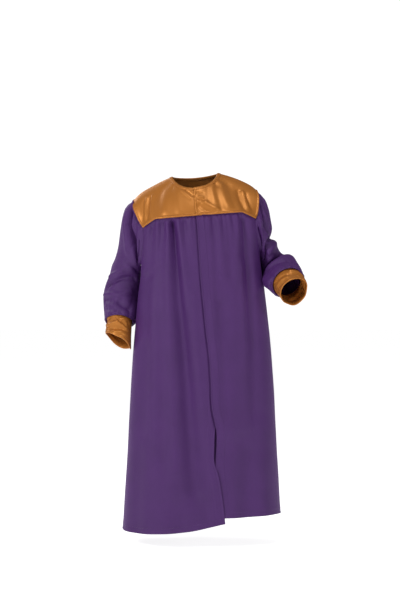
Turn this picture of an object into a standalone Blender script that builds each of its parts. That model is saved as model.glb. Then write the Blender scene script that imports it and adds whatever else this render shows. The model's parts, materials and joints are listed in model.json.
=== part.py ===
"""Small gospel choir robe, hollow, with its sleeves bent and its hem hanging clear.

Every piece of cloth is a wall of even thickness on a surface worked out from the tables below.
Tables and sizes are in millimetres. +X is the garment's left side, +Y its back and +Z is up.
The origin is the middle of the neck's base, where the shoulders hold the robe.
"""
import math

import bpy
import numpy as np

MM = 0.001


def table(columns, *rows):
    """Return a short table as a dictionary of named columns."""
    return dict(zip(columns.split(), np.array(rows, float).T))


# Cloth
WALL = 1.6
SEAM_GAP = 0.3
PURPLE = (0.085, 0.034, 0.150, 1.0)
GOLD = (0.430, 0.165, 0.042, 1.0)

# Posture: the robe shifts to +X below the shoulders, and its +X side hangs higher
LEAN = 0.08
SWAY = table("z x", (-900, 17), (-440, 17), (-315, 15.6), (-220, 14), (-120, 10.6), (-55, 1), (0, 0))

# Level sections of the body: rounded rectangles of this power, wider towards the hem
ROUND = 2.5
SECTIONS = table(
    "z half_width front back",
    (-900, 200, 130, 125),
    (-820, 196, 127, 122),
    (-700, 188.5, 123, 118),
    (-570, 182, 119, 112),
    (-440, 173.5, 114, 106),
    (-300, 159.5, 107, 98),
    (-215, 150, 101, 92),
    (-160, 155, 99, 90),
    (-100, 158, 95, 88),
)

# Yoke seam: level to a break near the armhole, then down to a corner on the armhole
SEAM_Z = -106
CORNER_X = 139
CORNER_Z = -124
SEAM_BREAK = 0.8
UNDERARM_Z = -215

# Hem height at each share of the way from the centre front to the side seam
HEM = table("share right left", (0, -870, -856), (0.35, -883, -860), (0.65, -882, -863), (1, -874, -869))

# Centre front edge of the +X front, which laps over the other one down to the last fastening
CENTRE_EDGE = table(
    "z x", (-880, 50), (-814, 43.5), (-767, 38), (-720, 34), (-676, 36), (-637, 35), (-592, 26),
    (-511, 21.7), (-462, 19), (-400, 12), (-338, 6.4), (-278, 1.4), (-218, -2), (-161, -5),
    (-106, -5), (-66, -2), (-30, -2),
)
# How far the -X front's edge reaches past that line, and how far each front edge stands out
LAPS = table(
    "z under right_out left_out",
    (-880, 8, 3.4, -1.4),
    (-800, 7, 3.2, -1.2),
    (-750, 4, 3.0, -1.0),
    (-715, -4, 2.4, -0.2),
    (-680, -6, 1.0, 1.0),
    (-645, -4, 0, 2.2),
    (-610, 7, 0, 2.4),
    (-560, 12, 0, 2.2),
    (-30, 12, 0, 2.2),
)
LAP_REACH = 15
LAP_FADE = 22

# Neckline
NECK_HALF_WIDTH = 57
NECK_FRONT = 60
NECK_BACK = 45
NECK_FRONT_DROP = 36
NECK_BACK_DROP = 4
NECK_CURVE = 1.3
BINDING_WIDTH = 7
BINDING_WALL = 1.2
BINDING_ROOM = 0.7

# Swell of the yoke above a straight line from neckline to edge
SWELL_SIDE = 8.5
SWELL_FRONT = 4
SWELL_BACK = 9

# Armhole from the shoulder tip to the yoke's corner, on the front of the +X side
ARMHOLE = table("x y z", (154.5, 0, -54), (157, -17, -62), (156, -30, -76), (151.5, -41, -93), (146, -49, -110))
CORNER_ANGLE = 80
# Clear space between edges that meet at a slant, and between the walls at the armhole
YOKE_SEAM_ROOM = 1.0
SHOULDER_ROOM = 0.5
ARMHOLE_ROOM = table("angle room", (0, 1.0), (90, 1.5), (180, 2.1))

# Folds: ridges (depth over 0) and troughs along straight lines, in x and z before the lean
FOLD_COLUMNS = "x0 z0 x1 z1 depth0 depth1 width0 width1"
FOLDS_RIGHT = table(
    FOLD_COLUMNS,
    (-123, -112, -133, -230, 3.0, 1.5, 6, 12),
    (-112, -110, -122, -240, -4.5, -1.5, 6, 13),
    (-99, -106, -104, -215, 3.0, 1.5, 6, 13),
    (-87, -106, -90, -200, -4.0, -1.0, 5, 11),
    (-78, -106, -78, -215, 3.5, 1.5, 5, 12),
    (-69, -106, -62, -311, -9.5, -8.5, 7, 15),
    (-62, -311, -16, -800, -8.5, -5.5, 15, 32),
    (-52, -106, -42, -330, 3.5, 2.5, 6, 18),
    (-38, -106, -36, -190, -2.6, -0.8, 5, 11),
    (-26, -106, -22, -200, 2.4, 0.8, 6, 13),
    (-112, -330, -128, -870, 3.0, 6.5, 22, 30),
    (-150, -420, -163, -870, -2.5, -5.0, 16, 22),
    (-66, -600, -72, -880, 1.5, 4.5, 24, 28),
)
FOLDS_LEFT = table(
    FOLD_COLUMNS,
    (16, -106, 20, -190, 2.2, 0.8, 6, 13),
    (30, -106, 32, -200, -2.8, -0.9, 5, 12),
    (42, -106, 46, -230, 2.6, 1.2, 6, 14),
    (56, -106, 58, -200, -3.2, -1.0, 5, 11),
    (70, -106, 73, -230, 2.8, 1.4, 6, 14),
    (83, -106, 86, -215, -3.6, -1.0, 5, 11),
    (95, -106, 99, -240, 3.2, 1.6, 5, 13),
    (108, -108, 121, -326, -5.5, -5.0, 7, 15),
    (121, -326, 133, -600, -5.0, -2.0, 15, 26),
    (122, -113, 137, -300, 3.0, 2.0, 6, 15),
    (50, -420, 66, -640, 3.5, 3.0, 18, 26),
    (92, -520, 104, -870, -2.0, -5.0, 24, 28),
    (140, -640, 154, -870, 2.0, 6.0, 22, 26),
    (66, -640, 72, -860, 3.0, 3.5, 26, 30),
)
FOLDS_BACK = table(
    FOLD_COLUMNS,
    (-122, -112, -130, -260, -4.2, -1.5, 6, 13),
    (-106, -108, -112, -300, 4.0, 3.0, 7, 17),
    (-90, -108, -92, -470, -6.5, -6.0, 7, 20),
    (-92, -470, -104, -870, -6.0, -8.0, 20, 28),
    (-74, -108, -72, -260, 4.0, 2.0, 6, 14),
    (-58, -108, -56, -230, -3.8, -1.2, 6, 12),
    (-42, -108, -38, -400, 4.5, 5.0, 7, 20),
    (-38, -400, -50, -870, 5.0, 8.0, 20, 30),
    (-24, -108, -22, -250, -4.2, -1.4, 6, 13),
    (-8, -108, -8, -220, 3.4, 1.2, 6, 12),
    (10, -108, 12, -520, -6.0, -5.5, 7, 22),
    (12, -520, 4, -870, -5.5, -8.0, 22, 28),
    (27, -108, 30, -260, 4.0, 2.0, 6, 14),
    (43, -108, 46, -230, -3.6, -1.2, 6, 12),
    (58, -108, 64, -430, 4.4, 4.8, 7, 20),
    (64, -430, 58, -870, 4.8, 8.0, 20, 30),
    (75, -108, 80, -260, -4.4, -1.6, 6, 14),
    (90, -108, 96, -250, 3.6, 1.6, 6, 13),
    (104, -108, 112, -480, -5.5, -5.0, 7, 18),
    (112, -480, 118, -870, -5.0, -7.0, 18, 26),
    (120, -112, 134, -300, 3.6, 2.0, 6, 14),
    (-150, -420, -160, -870, 2.0, 6.5, 18, 24),
    (158, -520, 166, -870, 2.0, 6.0, 18, 24),
)
PIN_HEIGHT = 16

# Sleeve rings: outer point, inner point, half depth, and how far the depth axis turns down
RING_COLUMNS = "ox oy oz ix iy iz depth pitch inward"
RINGS_RIGHT = table(
    RING_COLUMNS,
    (-204, 30, -214, -142.5, 40, -248, 55, 6, 0.2),
    (-217, 42, -248, -141.5, 53, -273, 53, 13, 0.2),
    (-228, 46, -275, -142, 58, -297, 53, 20, 0.2),
    (-233, 40, -301, -145, 53, -320, 50, 26, 0.15),
    (-232, 24, -329, -148.5, 34, -343, 48, 28, 0.1),
    (-229.5, 5, -356, -151.5, 9, -367, 45, 27, 0),
)
RINGS_LEFT = table(
    RING_COLUMNS,
    (208, 14, -180, 173, 24, -217, 53, 4, 0.2),
    (214, 16, -192, 176, 34, -240, 49, 16, 0.25),
    (221, 9, -199, 183, 33, -260, 47, 30, 0.25),
    (232, -8, -203, 187, 18, -273, 47, 43, 0.15),
    (244, -28, -209, 188, -3, -280, 48, 54, 0.08),
    (256, -52, -224, 190, -34, -290, 47, 61, 0),
    (263, -75, -239, 195, -68, -299, 44, 66, 0),
)
# Sleeve cap: it leaves the armhole level and outwards, and reaches the first ring down the arm
CAP_ROWS = (0.08, 0.22, 0.38, 0.56, 0.78)
CAP_LEAVE = table("side rise pull", (-1, 0.3, 0.8), (1, -0.12, 0.8))
CAP_REACH = 0.75
# How much less the cloth leaves outwards at the underarm than at the tip
UNDERARM_EASE = 0.2
# Sleeve folds: from one angle and ring to another; the armhole is ring 0 and the table above
# starts at ring 6
SLEEVE_FOLD_COLUMNS = "angle0 ring0 angle1 ring1 depth0 depth1 width0 width1"
CAP_GATHERS = (
    (-62, 0.7, -66, 2.4, -2.2, -0.8, 5, 9),
    (-35, 0.7, -38, 2.8, -2.8, -0.8, 5, 10),
    (-8, 0.7, -10, 2.6, -2.6, -0.8, 5, 10),
    (19, 0.7, 20, 2.8, -2.8, -0.8, 5, 10),
    (46, 0.7, 50, 2.4, -2.4, -0.8, 5, 9),
)
SLEEVE_FOLDS_RIGHT = table(
    SLEEVE_FOLD_COLUMNS,
    *CAP_GATHERS,
    (-26, 1.2, -46, 2.8, -4.0, -6.0, 7, 8),
    (-46, 2.8, -80, 3.7, -6.0, -6.5, 8, 8),
    (-80, 3.7, -118, 3.9, -6.5, -4.0, 8, 8),
    (-14, 9.6, -76, 10.0, -4.5, -4.5, 8, 8),
    (-76, 10.0, -115, 10.5, -4.5, -3.0, 8, 8),
    (-24, 7.5, -68, 6.6, 3.5, 2.5, 9, 9),
    (60, 5.0, 100, 6.8, -4.0, -4.0, 10, 10),
    (40, 9.2, 120, 8.6, -4.0, -3.0, 9, 9),
)
SLEEVE_FOLDS_LEFT = table(
    SLEEVE_FOLD_COLUMNS,
    *CAP_GATHERS,
    (14, 5.1, -70, 4.8, -8.0, -7.0, 8, 8),
    (-70, 4.8, -122, 5.0, -7.0, -4.0, 8, 8),
    (12, 7.8, -66, 7.6, -4.5, -3.5, 9, 9),
    (-60, 3.4, -98, 2.6, -3.5, -3.0, 7, 8),
    (-44, 1.4, -58, 3.0, -3.0, -2.0, 7, 8),
    (60, 4.6, 110, 5.6, -4.0, -4.0, 10, 10),
    (80, 8.8, 130, 8.2, -4.0, -3.0, 10, 10),
)
ANGLE_MM = 0.9
RING_MM = 22
# Turned sleeve end: past the last ring, and in from it
LIP = table("along inset", (6, 0.5), (9.5, 2), (10, 4.2), (7.5, 5.6), (-1, 6))
CUFF_INSET_RIGHT = 8.8
CUFF_INSET_LEFT = 7.9
# Rims of the cuffs, in the columns of the sleeve rings
RIM_RIGHT = table(RING_COLUMNS, (-224, -25, -398, -162, -23, -437, 35, 22, 0))
RIM_LEFT = table(RING_COLUMNS, (270, -125, -270, 216, -125, -318, 36, 66, 0))

# Steps of the meshes
SEAM_STEPS = 10
BACK_SEAM_STEPS = 20
CAP_STEPS = 10
ARMHOLE_TAUS = np.radians((0, 6, 15, 30, 45, 60, 75, 90))
FRONT_COLUMNS = 25
BACK_COLUMNS = 40
BODY_ROWS = np.array((0.03, 0.1, 0.2, 0.32, 0.44, 0.53, 0.6, 0.655, 0.71, 0.763, 0.83, 1.0))
YOKE_ROWS = np.array((0, 0.2, 0.4, 0.6, 0.78, 0.92, 1.0))
CUFF_STEPS = 3
BINDING_STEPS = 2


def spline(x, xs, ys):
    """Read a smooth curve through the points (xs, ys), with xs rising, at x."""
    xs = np.asarray(xs, float)
    ys = np.asarray(ys, float)
    slopes = np.gradient(ys, xs, axis=0)
    x = np.clip(x, xs[0], xs[-1])
    i = np.clip(np.searchsorted(xs, x, side="right") - 1, 0, len(xs) - 2)
    step = xs[i + 1] - xs[i]
    t = (x - xs[i]) / step
    if ys.ndim > 1:
        step, t = (a.reshape(a.shape + (1,) * (ys.ndim - 1)) for a in (step, t))
    start = (1 + 2 * t) * (1 - t) ** 2 * ys[i] + t * (1 - t) ** 2 * step * slopes[i]
    end = t * t * (3 - 2 * t) * ys[i + 1] + t * t * (t - 1) * step * slopes[i + 1]
    return start + end


def read(rows, column, at, key="z"):
    """Read one column of a table smoothly at the given values of its key column."""
    return spline(at, rows[key], rows[column])


def posed(points):
    """Shift and lean points as the robe hangs."""
    x, y, z = np.moveaxis(points, -1, 0)
    x = x + read(SWAY, "x", z)
    return np.stack((x, y, z + LEAN * x), -1)


def ease(t):
    """Rise smoothly from 0 to 1 over the same range."""
    t = np.clip(t, 0, 1)
    return t * t * (3 - 2 * t)


def body_point(turn, z, out=0.0):
    """Point of the body's cloth; turn is 0 at the +X side and a right angle at the front."""
    c, s = np.cos(turn), np.sin(turn)
    half = read(SECTIONS, "half_width", z)
    deep = np.where(s >= 0, read(SECTIONS, "front", z), read(SECTIONS, "back", z))
    r = ((np.abs(c) / half) ** ROUND + (np.abs(s) / deep) ** ROUND) ** (-1 / ROUND)
    x, y = r * c, -r * s
    nx = np.sign(x) * (np.abs(x) / half) ** (ROUND - 1) / half
    ny = np.sign(y) * (np.abs(y) / deep) ** (ROUND - 1) / deep
    size = np.hypot(nx, ny)
    return np.stack((x + out * nx / size, y + out * ny / size, z + 0 * x), -1)


def turn_at(x, z):
    """Angle at which the front's cloth has the given x."""
    half = read(SECTIONS, "half_width", z)
    y = read(SECTIONS, "front", z) * (1 - (np.abs(x) / half) ** ROUND) ** (1 / ROUND)
    return np.arctan2(y, x)


CORNER_TURN = float(turn_at(CORNER_X, CORNER_Z))


def seam_z(share):
    """Height of the yoke seam at a share of the way from the centre to the corner."""
    return SEAM_Z + (CORNER_Z - SEAM_Z) * np.clip((share - SEAM_BREAK) / (1 - SEAM_BREAK), 0, 1)


def folds(rows, x, z):
    """Sum the folds of a table at each x and z; a row that starts where the last one ended goes on with it."""
    total = np.zeros(np.broadcast(x, z).shape)
    end, last = None, total
    for x0, z0, x1, z1, depth0, depth1, width0, width1 in zip(*rows.values()):
        dx, dz = x1 - x0, z1 - z0
        t = np.clip(((x - x0) * dx + (z - z0) * dz) / (dx * dx + dz * dz), 0, 1)
        off = np.hypot(x - x0 - dx * t, z - z0 - dz * t)
        fold = (depth0 + (depth1 - depth0) * t) * np.exp(-((off / (width0 + (width1 - width0) * t)) ** 2))
        if end == (x0, z0):
            fold = np.where(np.abs(fold) > np.abs(last), fold, last)
            total = total - last
        total = total + fold
        end, last = (x1, z1), fold
    return total


def centre_turn(side, z):
    """Angle of a front's centre edge: the -X front reaches under the +X one."""
    reach = read(LAPS, "under", z) if side < 0 else 0
    return turn_at(read(CENTRE_EDGE, "x", z) + reach, z)


def lap_out(side, x, z):
    """How far a front stands out near its centre edge."""
    away = side * (x - read(CENTRE_EDGE, "x", z))
    near = 1 - ease((away - LAP_REACH) / LAP_FADE)
    return near * read(LAPS, "right_out" if side < 0 else "left_out", z)


def panel_heights(top, hem, armhole_share, below_share):
    """Heights from the yoke seam to the underarm level, then on to the hem."""
    return top + (UNDERARM_Z - top) * armhole_share + (hem - UNDERARM_Z) * below_share


def side_turn(z, armhole_share):
    """Angle of a panel's side edge: along the armhole, then down the side seam."""
    seam = SEAM_GAP / read(SECTIONS, "half_width", z)
    return np.maximum(CORNER_TURN * np.sqrt(1 - armhole_share ** 2), seam)


def front_points(side, share, armhole_share, below_share):
    """Front panel: share runs from the centre edge to the side seam."""
    hem = read(HEM, "right" if side < 0 else "left", share, "share")
    z = panel_heights(seam_z(share) - YOKE_SEAM_ROOM / 2, hem, armhole_share, below_share)
    edge = side_turn(z, armhole_share)
    if side < 0:
        edge = math.pi - edge
    turn = centre_turn(side, z) * (1 - share) + edge * share
    flat = body_point(turn, z)
    x = flat[..., 0]
    pinned = ease((seam_z(share) - z) / PIN_HEIGHT)
    out = pinned * folds(FOLDS_RIGHT if side < 0 else FOLDS_LEFT, x, z) * ease((1 - share) * 12)
    return posed(body_point(turn, z, out + lap_out(side, x, z)))


def back_points(share, armhole_share, below_share):
    """Back panel: share runs from the +X side seam to the -X one."""
    hem = read(HEM, "left", 1, "share") * (1 - share) + read(HEM, "right", 1, "share") * share
    from_centre = np.abs(2 * share - 1)
    z = panel_heights(seam_z(from_centre) - YOKE_SEAM_ROOM / 2, hem, armhole_share, below_share)
    edge = side_turn(z, armhole_share)
    turn = -(edge + (math.pi - 2 * edge) * share)
    x = body_point(turn, z)[..., 0]
    pinned = ease((seam_z(from_centre) - z) / PIN_HEIGHT) * ease((1 - from_centre) * 12)
    return posed(body_point(turn, z, pinned * folds(FOLDS_BACK, x, z)))


def armhole_point(side, angle):
    """Point of the armhole before the lean; the angle is 0 at the shoulder tip and over 0 behind."""
    upper = np.stack([ARMHOLE[name] for name in "xyz"], -1)
    front_corner, back_corner = body_point(np.array((CORNER_TURN, -CORNER_TURN)), CORNER_Z)
    path = np.vstack((front_corner, upper[::-1], upper[1:] * (1, -1, 1), back_corner))
    cap = spline(angle, np.linspace(-CORNER_ANGLE, CORNER_ANGLE, len(path)), path)
    tau = np.radians((np.abs(angle) - CORNER_ANGLE) / (180 - CORNER_ANGLE) * 90)
    z = CORNER_Z + (UNDERARM_Z - CORNER_Z) * np.sin(tau)
    under = body_point(-np.sign(angle) * CORNER_TURN * np.cos(tau), z)
    return np.where(tau[:, None] <= 0, cap, under) * (side, 1, 1)


def neck_point(turn):
    """Point of the neckline straight in from the yoke's edge."""
    c, s = np.cos(turn), np.sin(turn)
    deep = np.where(s >= 0, NECK_FRONT, NECK_BACK)
    r = ((c / NECK_HALF_WIDTH) ** 2 + (s / deep) ** 2) ** -0.5
    drop = np.where(s >= 0, NECK_FRONT_DROP, NECK_BACK_DROP)
    return np.stack((r * c, -r * s, -drop * np.abs(s) ** NECK_CURVE), -1)


def yoke_points(edge, t, lift=0.0):
    """Yoke: t runs from the neckline to the edge points, over a soft swell."""
    turn = np.arctan2(-edge[..., 1], edge[..., 0])
    neck = neck_point(turn)
    span = edge - neck
    flat = np.hypot(span[..., 0], span[..., 1])
    size = np.hypot(flat, span[..., 2])
    up = flat / size
    outward = -span[..., 2] / size / flat
    across = np.stack((span[..., 0] * outward, span[..., 1] * outward, up), -1)
    side = np.cos(turn) ** 2
    plain = np.where(edge[..., 1] < 0, SWELL_FRONT, SWELL_BACK) * (1 - side) * 4 * t * (1 - t)
    shoulder = SWELL_SIDE * side * (1 - (1 - t) ** 3) * (1 - t ** 10)
    return neck + span * t[..., None] + across * (plain + shoulder + lift)[..., None]


def yoke_edge(side, face, seam_steps, cap_steps=CAP_STEPS):
    """Edge of half a yoke from the centre line, along the seam and up the armhole."""
    share = np.linspace(0, 1, seam_steps + 1)
    z = seam_z(share) + YOKE_SEAM_ROOM / 2
    if face > 0:
        start, corner = centre_turn(side, z), CORNER_TURN if side > 0 else math.pi - CORNER_TURN
    else:
        start, corner = -math.pi / 2, -CORNER_TURN if side > 0 else CORNER_TURN - math.pi
    seam = body_point(start * (1 - share) + corner * share, z)
    angles = -face * np.linspace(CORNER_ANGLE, 0, cap_steps + 1)[1:]
    return np.vstack((seam, armhole_point(side, angles)))


def ring(rows, index):
    """Centre, half width, half depth and axis down the arm of one sleeve ring."""
    outer = np.array([rows[name][index] for name in ("ox", "oy", "oz")])
    inner = np.array([rows[name][index] for name in ("ix", "iy", "iz")])
    centre, half = (outer + inner) / 2, (outer - inner) / 2
    side = math.copysign(1, centre[0])
    pitch = math.radians(rows["pitch"][index])
    behind = np.array((-side * rows["inward"][index], math.cos(pitch), -math.sin(pitch)))
    behind -= half * behind.dot(half) / half.dot(half)
    behind *= rows["depth"][index] / np.linalg.norm(behind)
    axis = -side * np.cross(half, behind)
    return centre, half, behind, axis / np.linalg.norm(axis)


def ring_points(frame, angles, along=0.0, inset=0.0):
    """Ellipse of a ring, moved along its axis and drawn in all round; angle 0 is the outer point."""
    centre, half, behind, axis = frame
    a = half * (1 - inset / np.linalg.norm(half))
    b = behind * (1 - inset / np.linalg.norm(behind))
    turned = np.radians(angles)
    return centre + axis * along + np.outer(np.cos(turned), a) + np.outer(np.sin(turned), b)


def sleeve_angles():
    """Angles round a sleeve that match the points of the yoke and the body at the armhole."""
    cap = np.linspace(0, CORNER_ANGLE, CAP_STEPS + 1)
    under = CORNER_ANGLE + np.degrees(ARMHOLE_TAUS[1:]) / 90 * (180 - CORNER_ANGLE)
    half = np.concatenate((cap, under))
    return np.concatenate((half, -half[-2:0:-1]))


def cap_points(side, rows, angles, t):
    """Sleeve between the armhole (t = 0) and its first ring (t = 1)."""
    start = armhole_point(side, angles)
    start[:, 0] += side * read(ARMHOLE_ROOM, "room", np.abs(angles), "angle")
    start = posed(start)
    frame = ring(rows, 0)
    end = ring_points(frame, angles)
    reach = np.linalg.norm(end - start, axis=1)[:, None]
    rise, pull = (read(CAP_LEAVE, name, side, "side") for name in ("rise", "pull"))
    upward = rise * np.maximum(np.cos(np.radians(angles)), 0)
    outward = side * (1 - UNDERARM_EASE * (1 - np.cos(np.radians(angles))) / 2)
    leave = np.stack((outward, 0 * upward, upward), -1) * pull * reach
    arrive = frame[3] * CAP_REACH * reach
    bend = t * (1 - t)
    return (
        start * (1 + 2 * t) * (1 - t) ** 2 + leave * bend * (1 - t)
        + end * t * t * (3 - 2 * t) - arrive * bend * t
    )


def sleeve_rings(side, rows, angles):
    """Armhole and cap, rings down the arm, and the end turned up towards the cuff."""
    rings = [cap_points(side, rows, angles, t) for t in (0, *CAP_ROWS)]
    frames = [ring(rows, index) for index in range(len(rows["ox"]))]
    rings += [ring_points(frame, angles) for frame in frames]
    rings += [ring_points(frames[-1], angles, along, inset) for along, inset in zip(*LIP.values())]
    return np.array(rings)


def round_normals(grid, side):
    """Outward directions on a tube of rings."""
    round_way = np.roll(grid, -1, axis=1) - np.roll(grid, 1, axis=1)
    along = np.gradient(grid, axis=0)
    normal = side * np.cross(along, round_way)
    return normal / np.linalg.norm(normal, axis=-1, keepdims=True)


def folded_sleeve(side, rows, fold_rows, angles):
    """Sleeve with its folds pressed in or raised."""
    rings = sleeve_rings(side, rows, angles)
    across = ANGLE_MM * angles[None, :]
    down = RING_MM * np.arange(len(rings))[:, None]
    scale = np.array((ANGLE_MM, RING_MM, ANGLE_MM, RING_MM, 1, 1, 1, 1))
    flat = dict(zip(fold_rows, (column * k for column, k in zip(fold_rows.values(), scale))))
    depth = folds(flat, across, down)
    depth[0] = 0
    return rings + round_normals(rings, side) * depth[..., None]


def cuff_points(rows, rim_rows, inset, angles, steps):
    """Cuff from inside the turned sleeve end to its rim."""
    start = ring_points(ring(rows, -1), angles, LIP["along"][-1], inset)
    rim = ring_points(ring(rim_rows, 0), angles)
    return np.array([start * (1 - t) + rim * t for t in np.linspace(0, 1, steps + 1)])


def material(name, colour, roughness):
    """Plain cloth colour."""
    result = bpy.data.materials.new(name)
    result.use_nodes = True
    shader = result.node_tree.nodes["Principled BSDF"]
    shader.inputs["Base Color"].default_value = colour
    shader.inputs["Roughness"].default_value = roughness
    shader.inputs["Metallic"].default_value = 0.0
    return result


def wall(name, grid, cloth, collection, closed=False, thickness=WALL):
    """Make one piece of cloth from a grid of points, with its outer side facing out."""
    rows, columns = grid.shape[:2]
    index = np.arange(rows * columns).reshape(rows, columns)
    if closed:
        index = np.hstack((index, index[:, :1]))
    faces = [
        (index[r, c], index[r + 1, c], index[r + 1, c + 1], index[r, c + 1])
        for r in range(index.shape[0] - 1)
        for c in range(index.shape[1] - 1)
    ]
    mesh = bpy.data.meshes.new(name)
    mesh.from_pydata((grid.reshape(-1, 3) * MM).tolist(), [], [tuple(map(int, f)) for f in faces])
    mesh.shade_smooth()
    piece = bpy.data.objects.new(name, mesh)
    piece.data.materials.append(cloth)
    solidify = piece.modifiers.new("Wall", "SOLIDIFY")
    solidify.thickness = thickness * MM
    solidify.offset = 0
    solidify.use_even_offset = True
    collection.objects.link(piece)
    return piece


def panel_rows():
    """Shares above and below the underarm level for each row of a body panel."""
    armhole = np.concatenate((np.sin(ARMHOLE_TAUS), np.ones(len(BODY_ROWS))))
    below = np.concatenate((np.zeros(len(ARMHOLE_TAUS)), BODY_ROWS))
    return armhole[:, None], below[:, None]


def yoke_grid(face, edge, side=0):
    """Grid of a yoke piece over its edge points, a little clear of the shoulder line."""
    t = np.repeat(YOKE_ROWS[:, None], len(edge), axis=1)
    edges = np.repeat(edge[None], len(YOKE_ROWS), axis=0)
    points = yoke_points(edges, t)
    if side:
        points = yoke_points(edges, t, lap_out(side, points[..., 0], points[..., 2]))
    return points - (0, face * SHOULDER_ROOM / 2, 0)


def binding_grid():
    """Strip round the neckline, laid on the yoke from one centre edge to the other."""
    front_left = yoke_edge(1, 1, SEAM_STEPS)
    back_left = yoke_edge(1, -1, BACK_SEAM_STEPS // 2)
    back_right = yoke_edge(-1, -1, BACK_SEAM_STEPS // 2)
    front_right = yoke_edge(-1, 1, SEAM_STEPS)
    clear = front_right[:, 0] < front_left[0, 0] - WALL
    front_right = front_right[clear]
    edge = np.vstack((front_left, back_left[-2::-1], back_right[1:], front_right[-2::-1]))
    span = np.linalg.norm(edge - neck_point(np.arctan2(-edge[:, 1], edge[:, 0])), axis=1)
    t = np.linspace(0, 1, BINDING_STEPS + 1)[:, None] * BINDING_WIDTH / span
    edges = np.repeat(edge[None], len(t), axis=0)
    on = yoke_points(edges, t)
    lift = (WALL + BINDING_WALL) / 2 + BINDING_ROOM + 0 * t
    left = slice(0, len(front_left) - 1)
    lift[:, left] += lap_out(1, on[:, left, 0], on[:, left, 2])
    points = yoke_points(edges, t, lift)
    points[..., 1] += np.sign(np.round(points[..., 1])) * SHOULDER_ROOM / 2
    return points


def build():
    """Make every piece of the robe."""
    for old in list(bpy.data.objects):
        bpy.data.objects.remove(old, do_unlink=True)
    robe = bpy.data.collections.new("choir_robe")
    bpy.context.scene.collection.children.link(robe)
    purple = material("purple_cloth", PURPLE, 0.75)
    gold = material("gold_satin", GOLD, 0.35)

    armhole, below = panel_rows()
    front_share = np.linspace(0, 1, FRONT_COLUMNS + 1)[None, :]
    back_share = np.linspace(0, 1, BACK_COLUMNS + 1)[None, :]
    wall("front_right", front_points(-1, front_share, armhole, below)[:, ::-1], purple, robe)
    wall("front_left", front_points(1, front_share, armhole, below), purple, robe)
    wall("back", back_points(back_share, armhole, below)[:, ::-1], purple, robe)

    front_edge = yoke_edge(-1, 1, SEAM_STEPS)
    wall("yoke_front_right", posed(yoke_grid(1, front_edge, -1))[:, ::-1], gold, robe)
    front_edge = yoke_edge(1, 1, SEAM_STEPS)
    wall("yoke_front_left", posed(yoke_grid(1, front_edge, 1)), gold, robe)
    back_left = yoke_edge(1, -1, BACK_SEAM_STEPS // 2)
    back_right = yoke_edge(-1, -1, BACK_SEAM_STEPS // 2)
    back_edge = np.vstack((back_left[::-1], back_right[1:]))
    wall("yoke_back", posed(yoke_grid(-1, back_edge)), gold, robe)
    wall("neck_binding", posed(binding_grid()), gold, robe, thickness=BINDING_WALL)

    angles = sleeve_angles()
    for side, name, rows, fold_rows, rim, inset in (
        (-1, "right", RINGS_RIGHT, SLEEVE_FOLDS_RIGHT, RIM_RIGHT, CUFF_INSET_RIGHT),
        (1, "left", RINGS_LEFT, SLEEVE_FOLDS_LEFT, RIM_LEFT, CUFF_INSET_LEFT),
    ):
        sleeve = folded_sleeve(side, rows, fold_rows, angles)
        wall("sleeve_" + name, sleeve, purple, robe, closed=True)
        wall("cuff_" + name, cuff_points(rows, rim, inset, angles, CUFF_STEPS), gold, robe, closed=True)


build()
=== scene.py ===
import json
import math

import bpy
import numpy as np
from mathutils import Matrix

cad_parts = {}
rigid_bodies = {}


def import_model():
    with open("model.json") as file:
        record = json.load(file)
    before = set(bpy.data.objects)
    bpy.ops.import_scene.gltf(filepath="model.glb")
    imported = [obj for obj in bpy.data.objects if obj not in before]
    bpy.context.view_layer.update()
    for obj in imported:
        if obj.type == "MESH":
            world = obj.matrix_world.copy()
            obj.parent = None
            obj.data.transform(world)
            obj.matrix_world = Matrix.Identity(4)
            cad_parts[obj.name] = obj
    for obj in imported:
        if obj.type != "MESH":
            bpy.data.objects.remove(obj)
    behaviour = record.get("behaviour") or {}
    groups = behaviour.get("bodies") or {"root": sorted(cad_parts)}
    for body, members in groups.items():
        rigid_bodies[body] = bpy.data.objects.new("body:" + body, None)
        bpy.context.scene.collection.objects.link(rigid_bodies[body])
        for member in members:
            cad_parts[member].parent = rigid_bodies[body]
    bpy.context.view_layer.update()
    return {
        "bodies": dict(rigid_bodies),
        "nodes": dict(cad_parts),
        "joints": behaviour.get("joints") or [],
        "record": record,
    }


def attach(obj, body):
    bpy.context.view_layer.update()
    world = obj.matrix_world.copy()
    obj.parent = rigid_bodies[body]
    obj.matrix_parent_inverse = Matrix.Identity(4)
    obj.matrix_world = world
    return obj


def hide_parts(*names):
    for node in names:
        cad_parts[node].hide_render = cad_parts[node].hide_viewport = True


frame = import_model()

MM = 0.001
TINY = 1e-9


def table(columns, *rows):
    """Return a short table as a dictionary of named columns."""
    return dict(zip(columns.split(), np.array(rows, float).T))


# Posture: the robe shifts to +X below the shoulders, and its +X side hangs higher
LEAN = 0.08
SWAY = table("z x", (-900, 17), (-440, 17), (-315, 15.6), (-220, 14), (-120, 10.6), (-55, 1), (0, 0))

# Level sections of the body: rounded rectangles of this power, wider towards the hem
ROUND = 2.5
SECTIONS = table(
    "z half_width front back",
    (-900, 200, 130, 125),
    (-820, 196, 127, 122),
    (-700, 188.5, 123, 118),
    (-570, 182, 119, 112),
    (-440, 173.5, 114, 106),
    (-300, 159.5, 107, 98),
    (-215, 150, 101, 92),
    (-160, 155, 99, 90),
    (-100, 158, 95, 88),
)

# Yoke seam: level to a break near the armhole, then down to a corner on the armhole
SEAM_Z = -106
CORNER_X = 139
CORNER_Z = -124
SEAM_BREAK = 0.8
UNDERARM_Z = -215

# Hem height at each share of the way from the centre front to the side seam
HEM = table("share right left", (0, -870, -856), (0.35, -883, -860), (0.65, -882, -863), (1, -874, -869))

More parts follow.
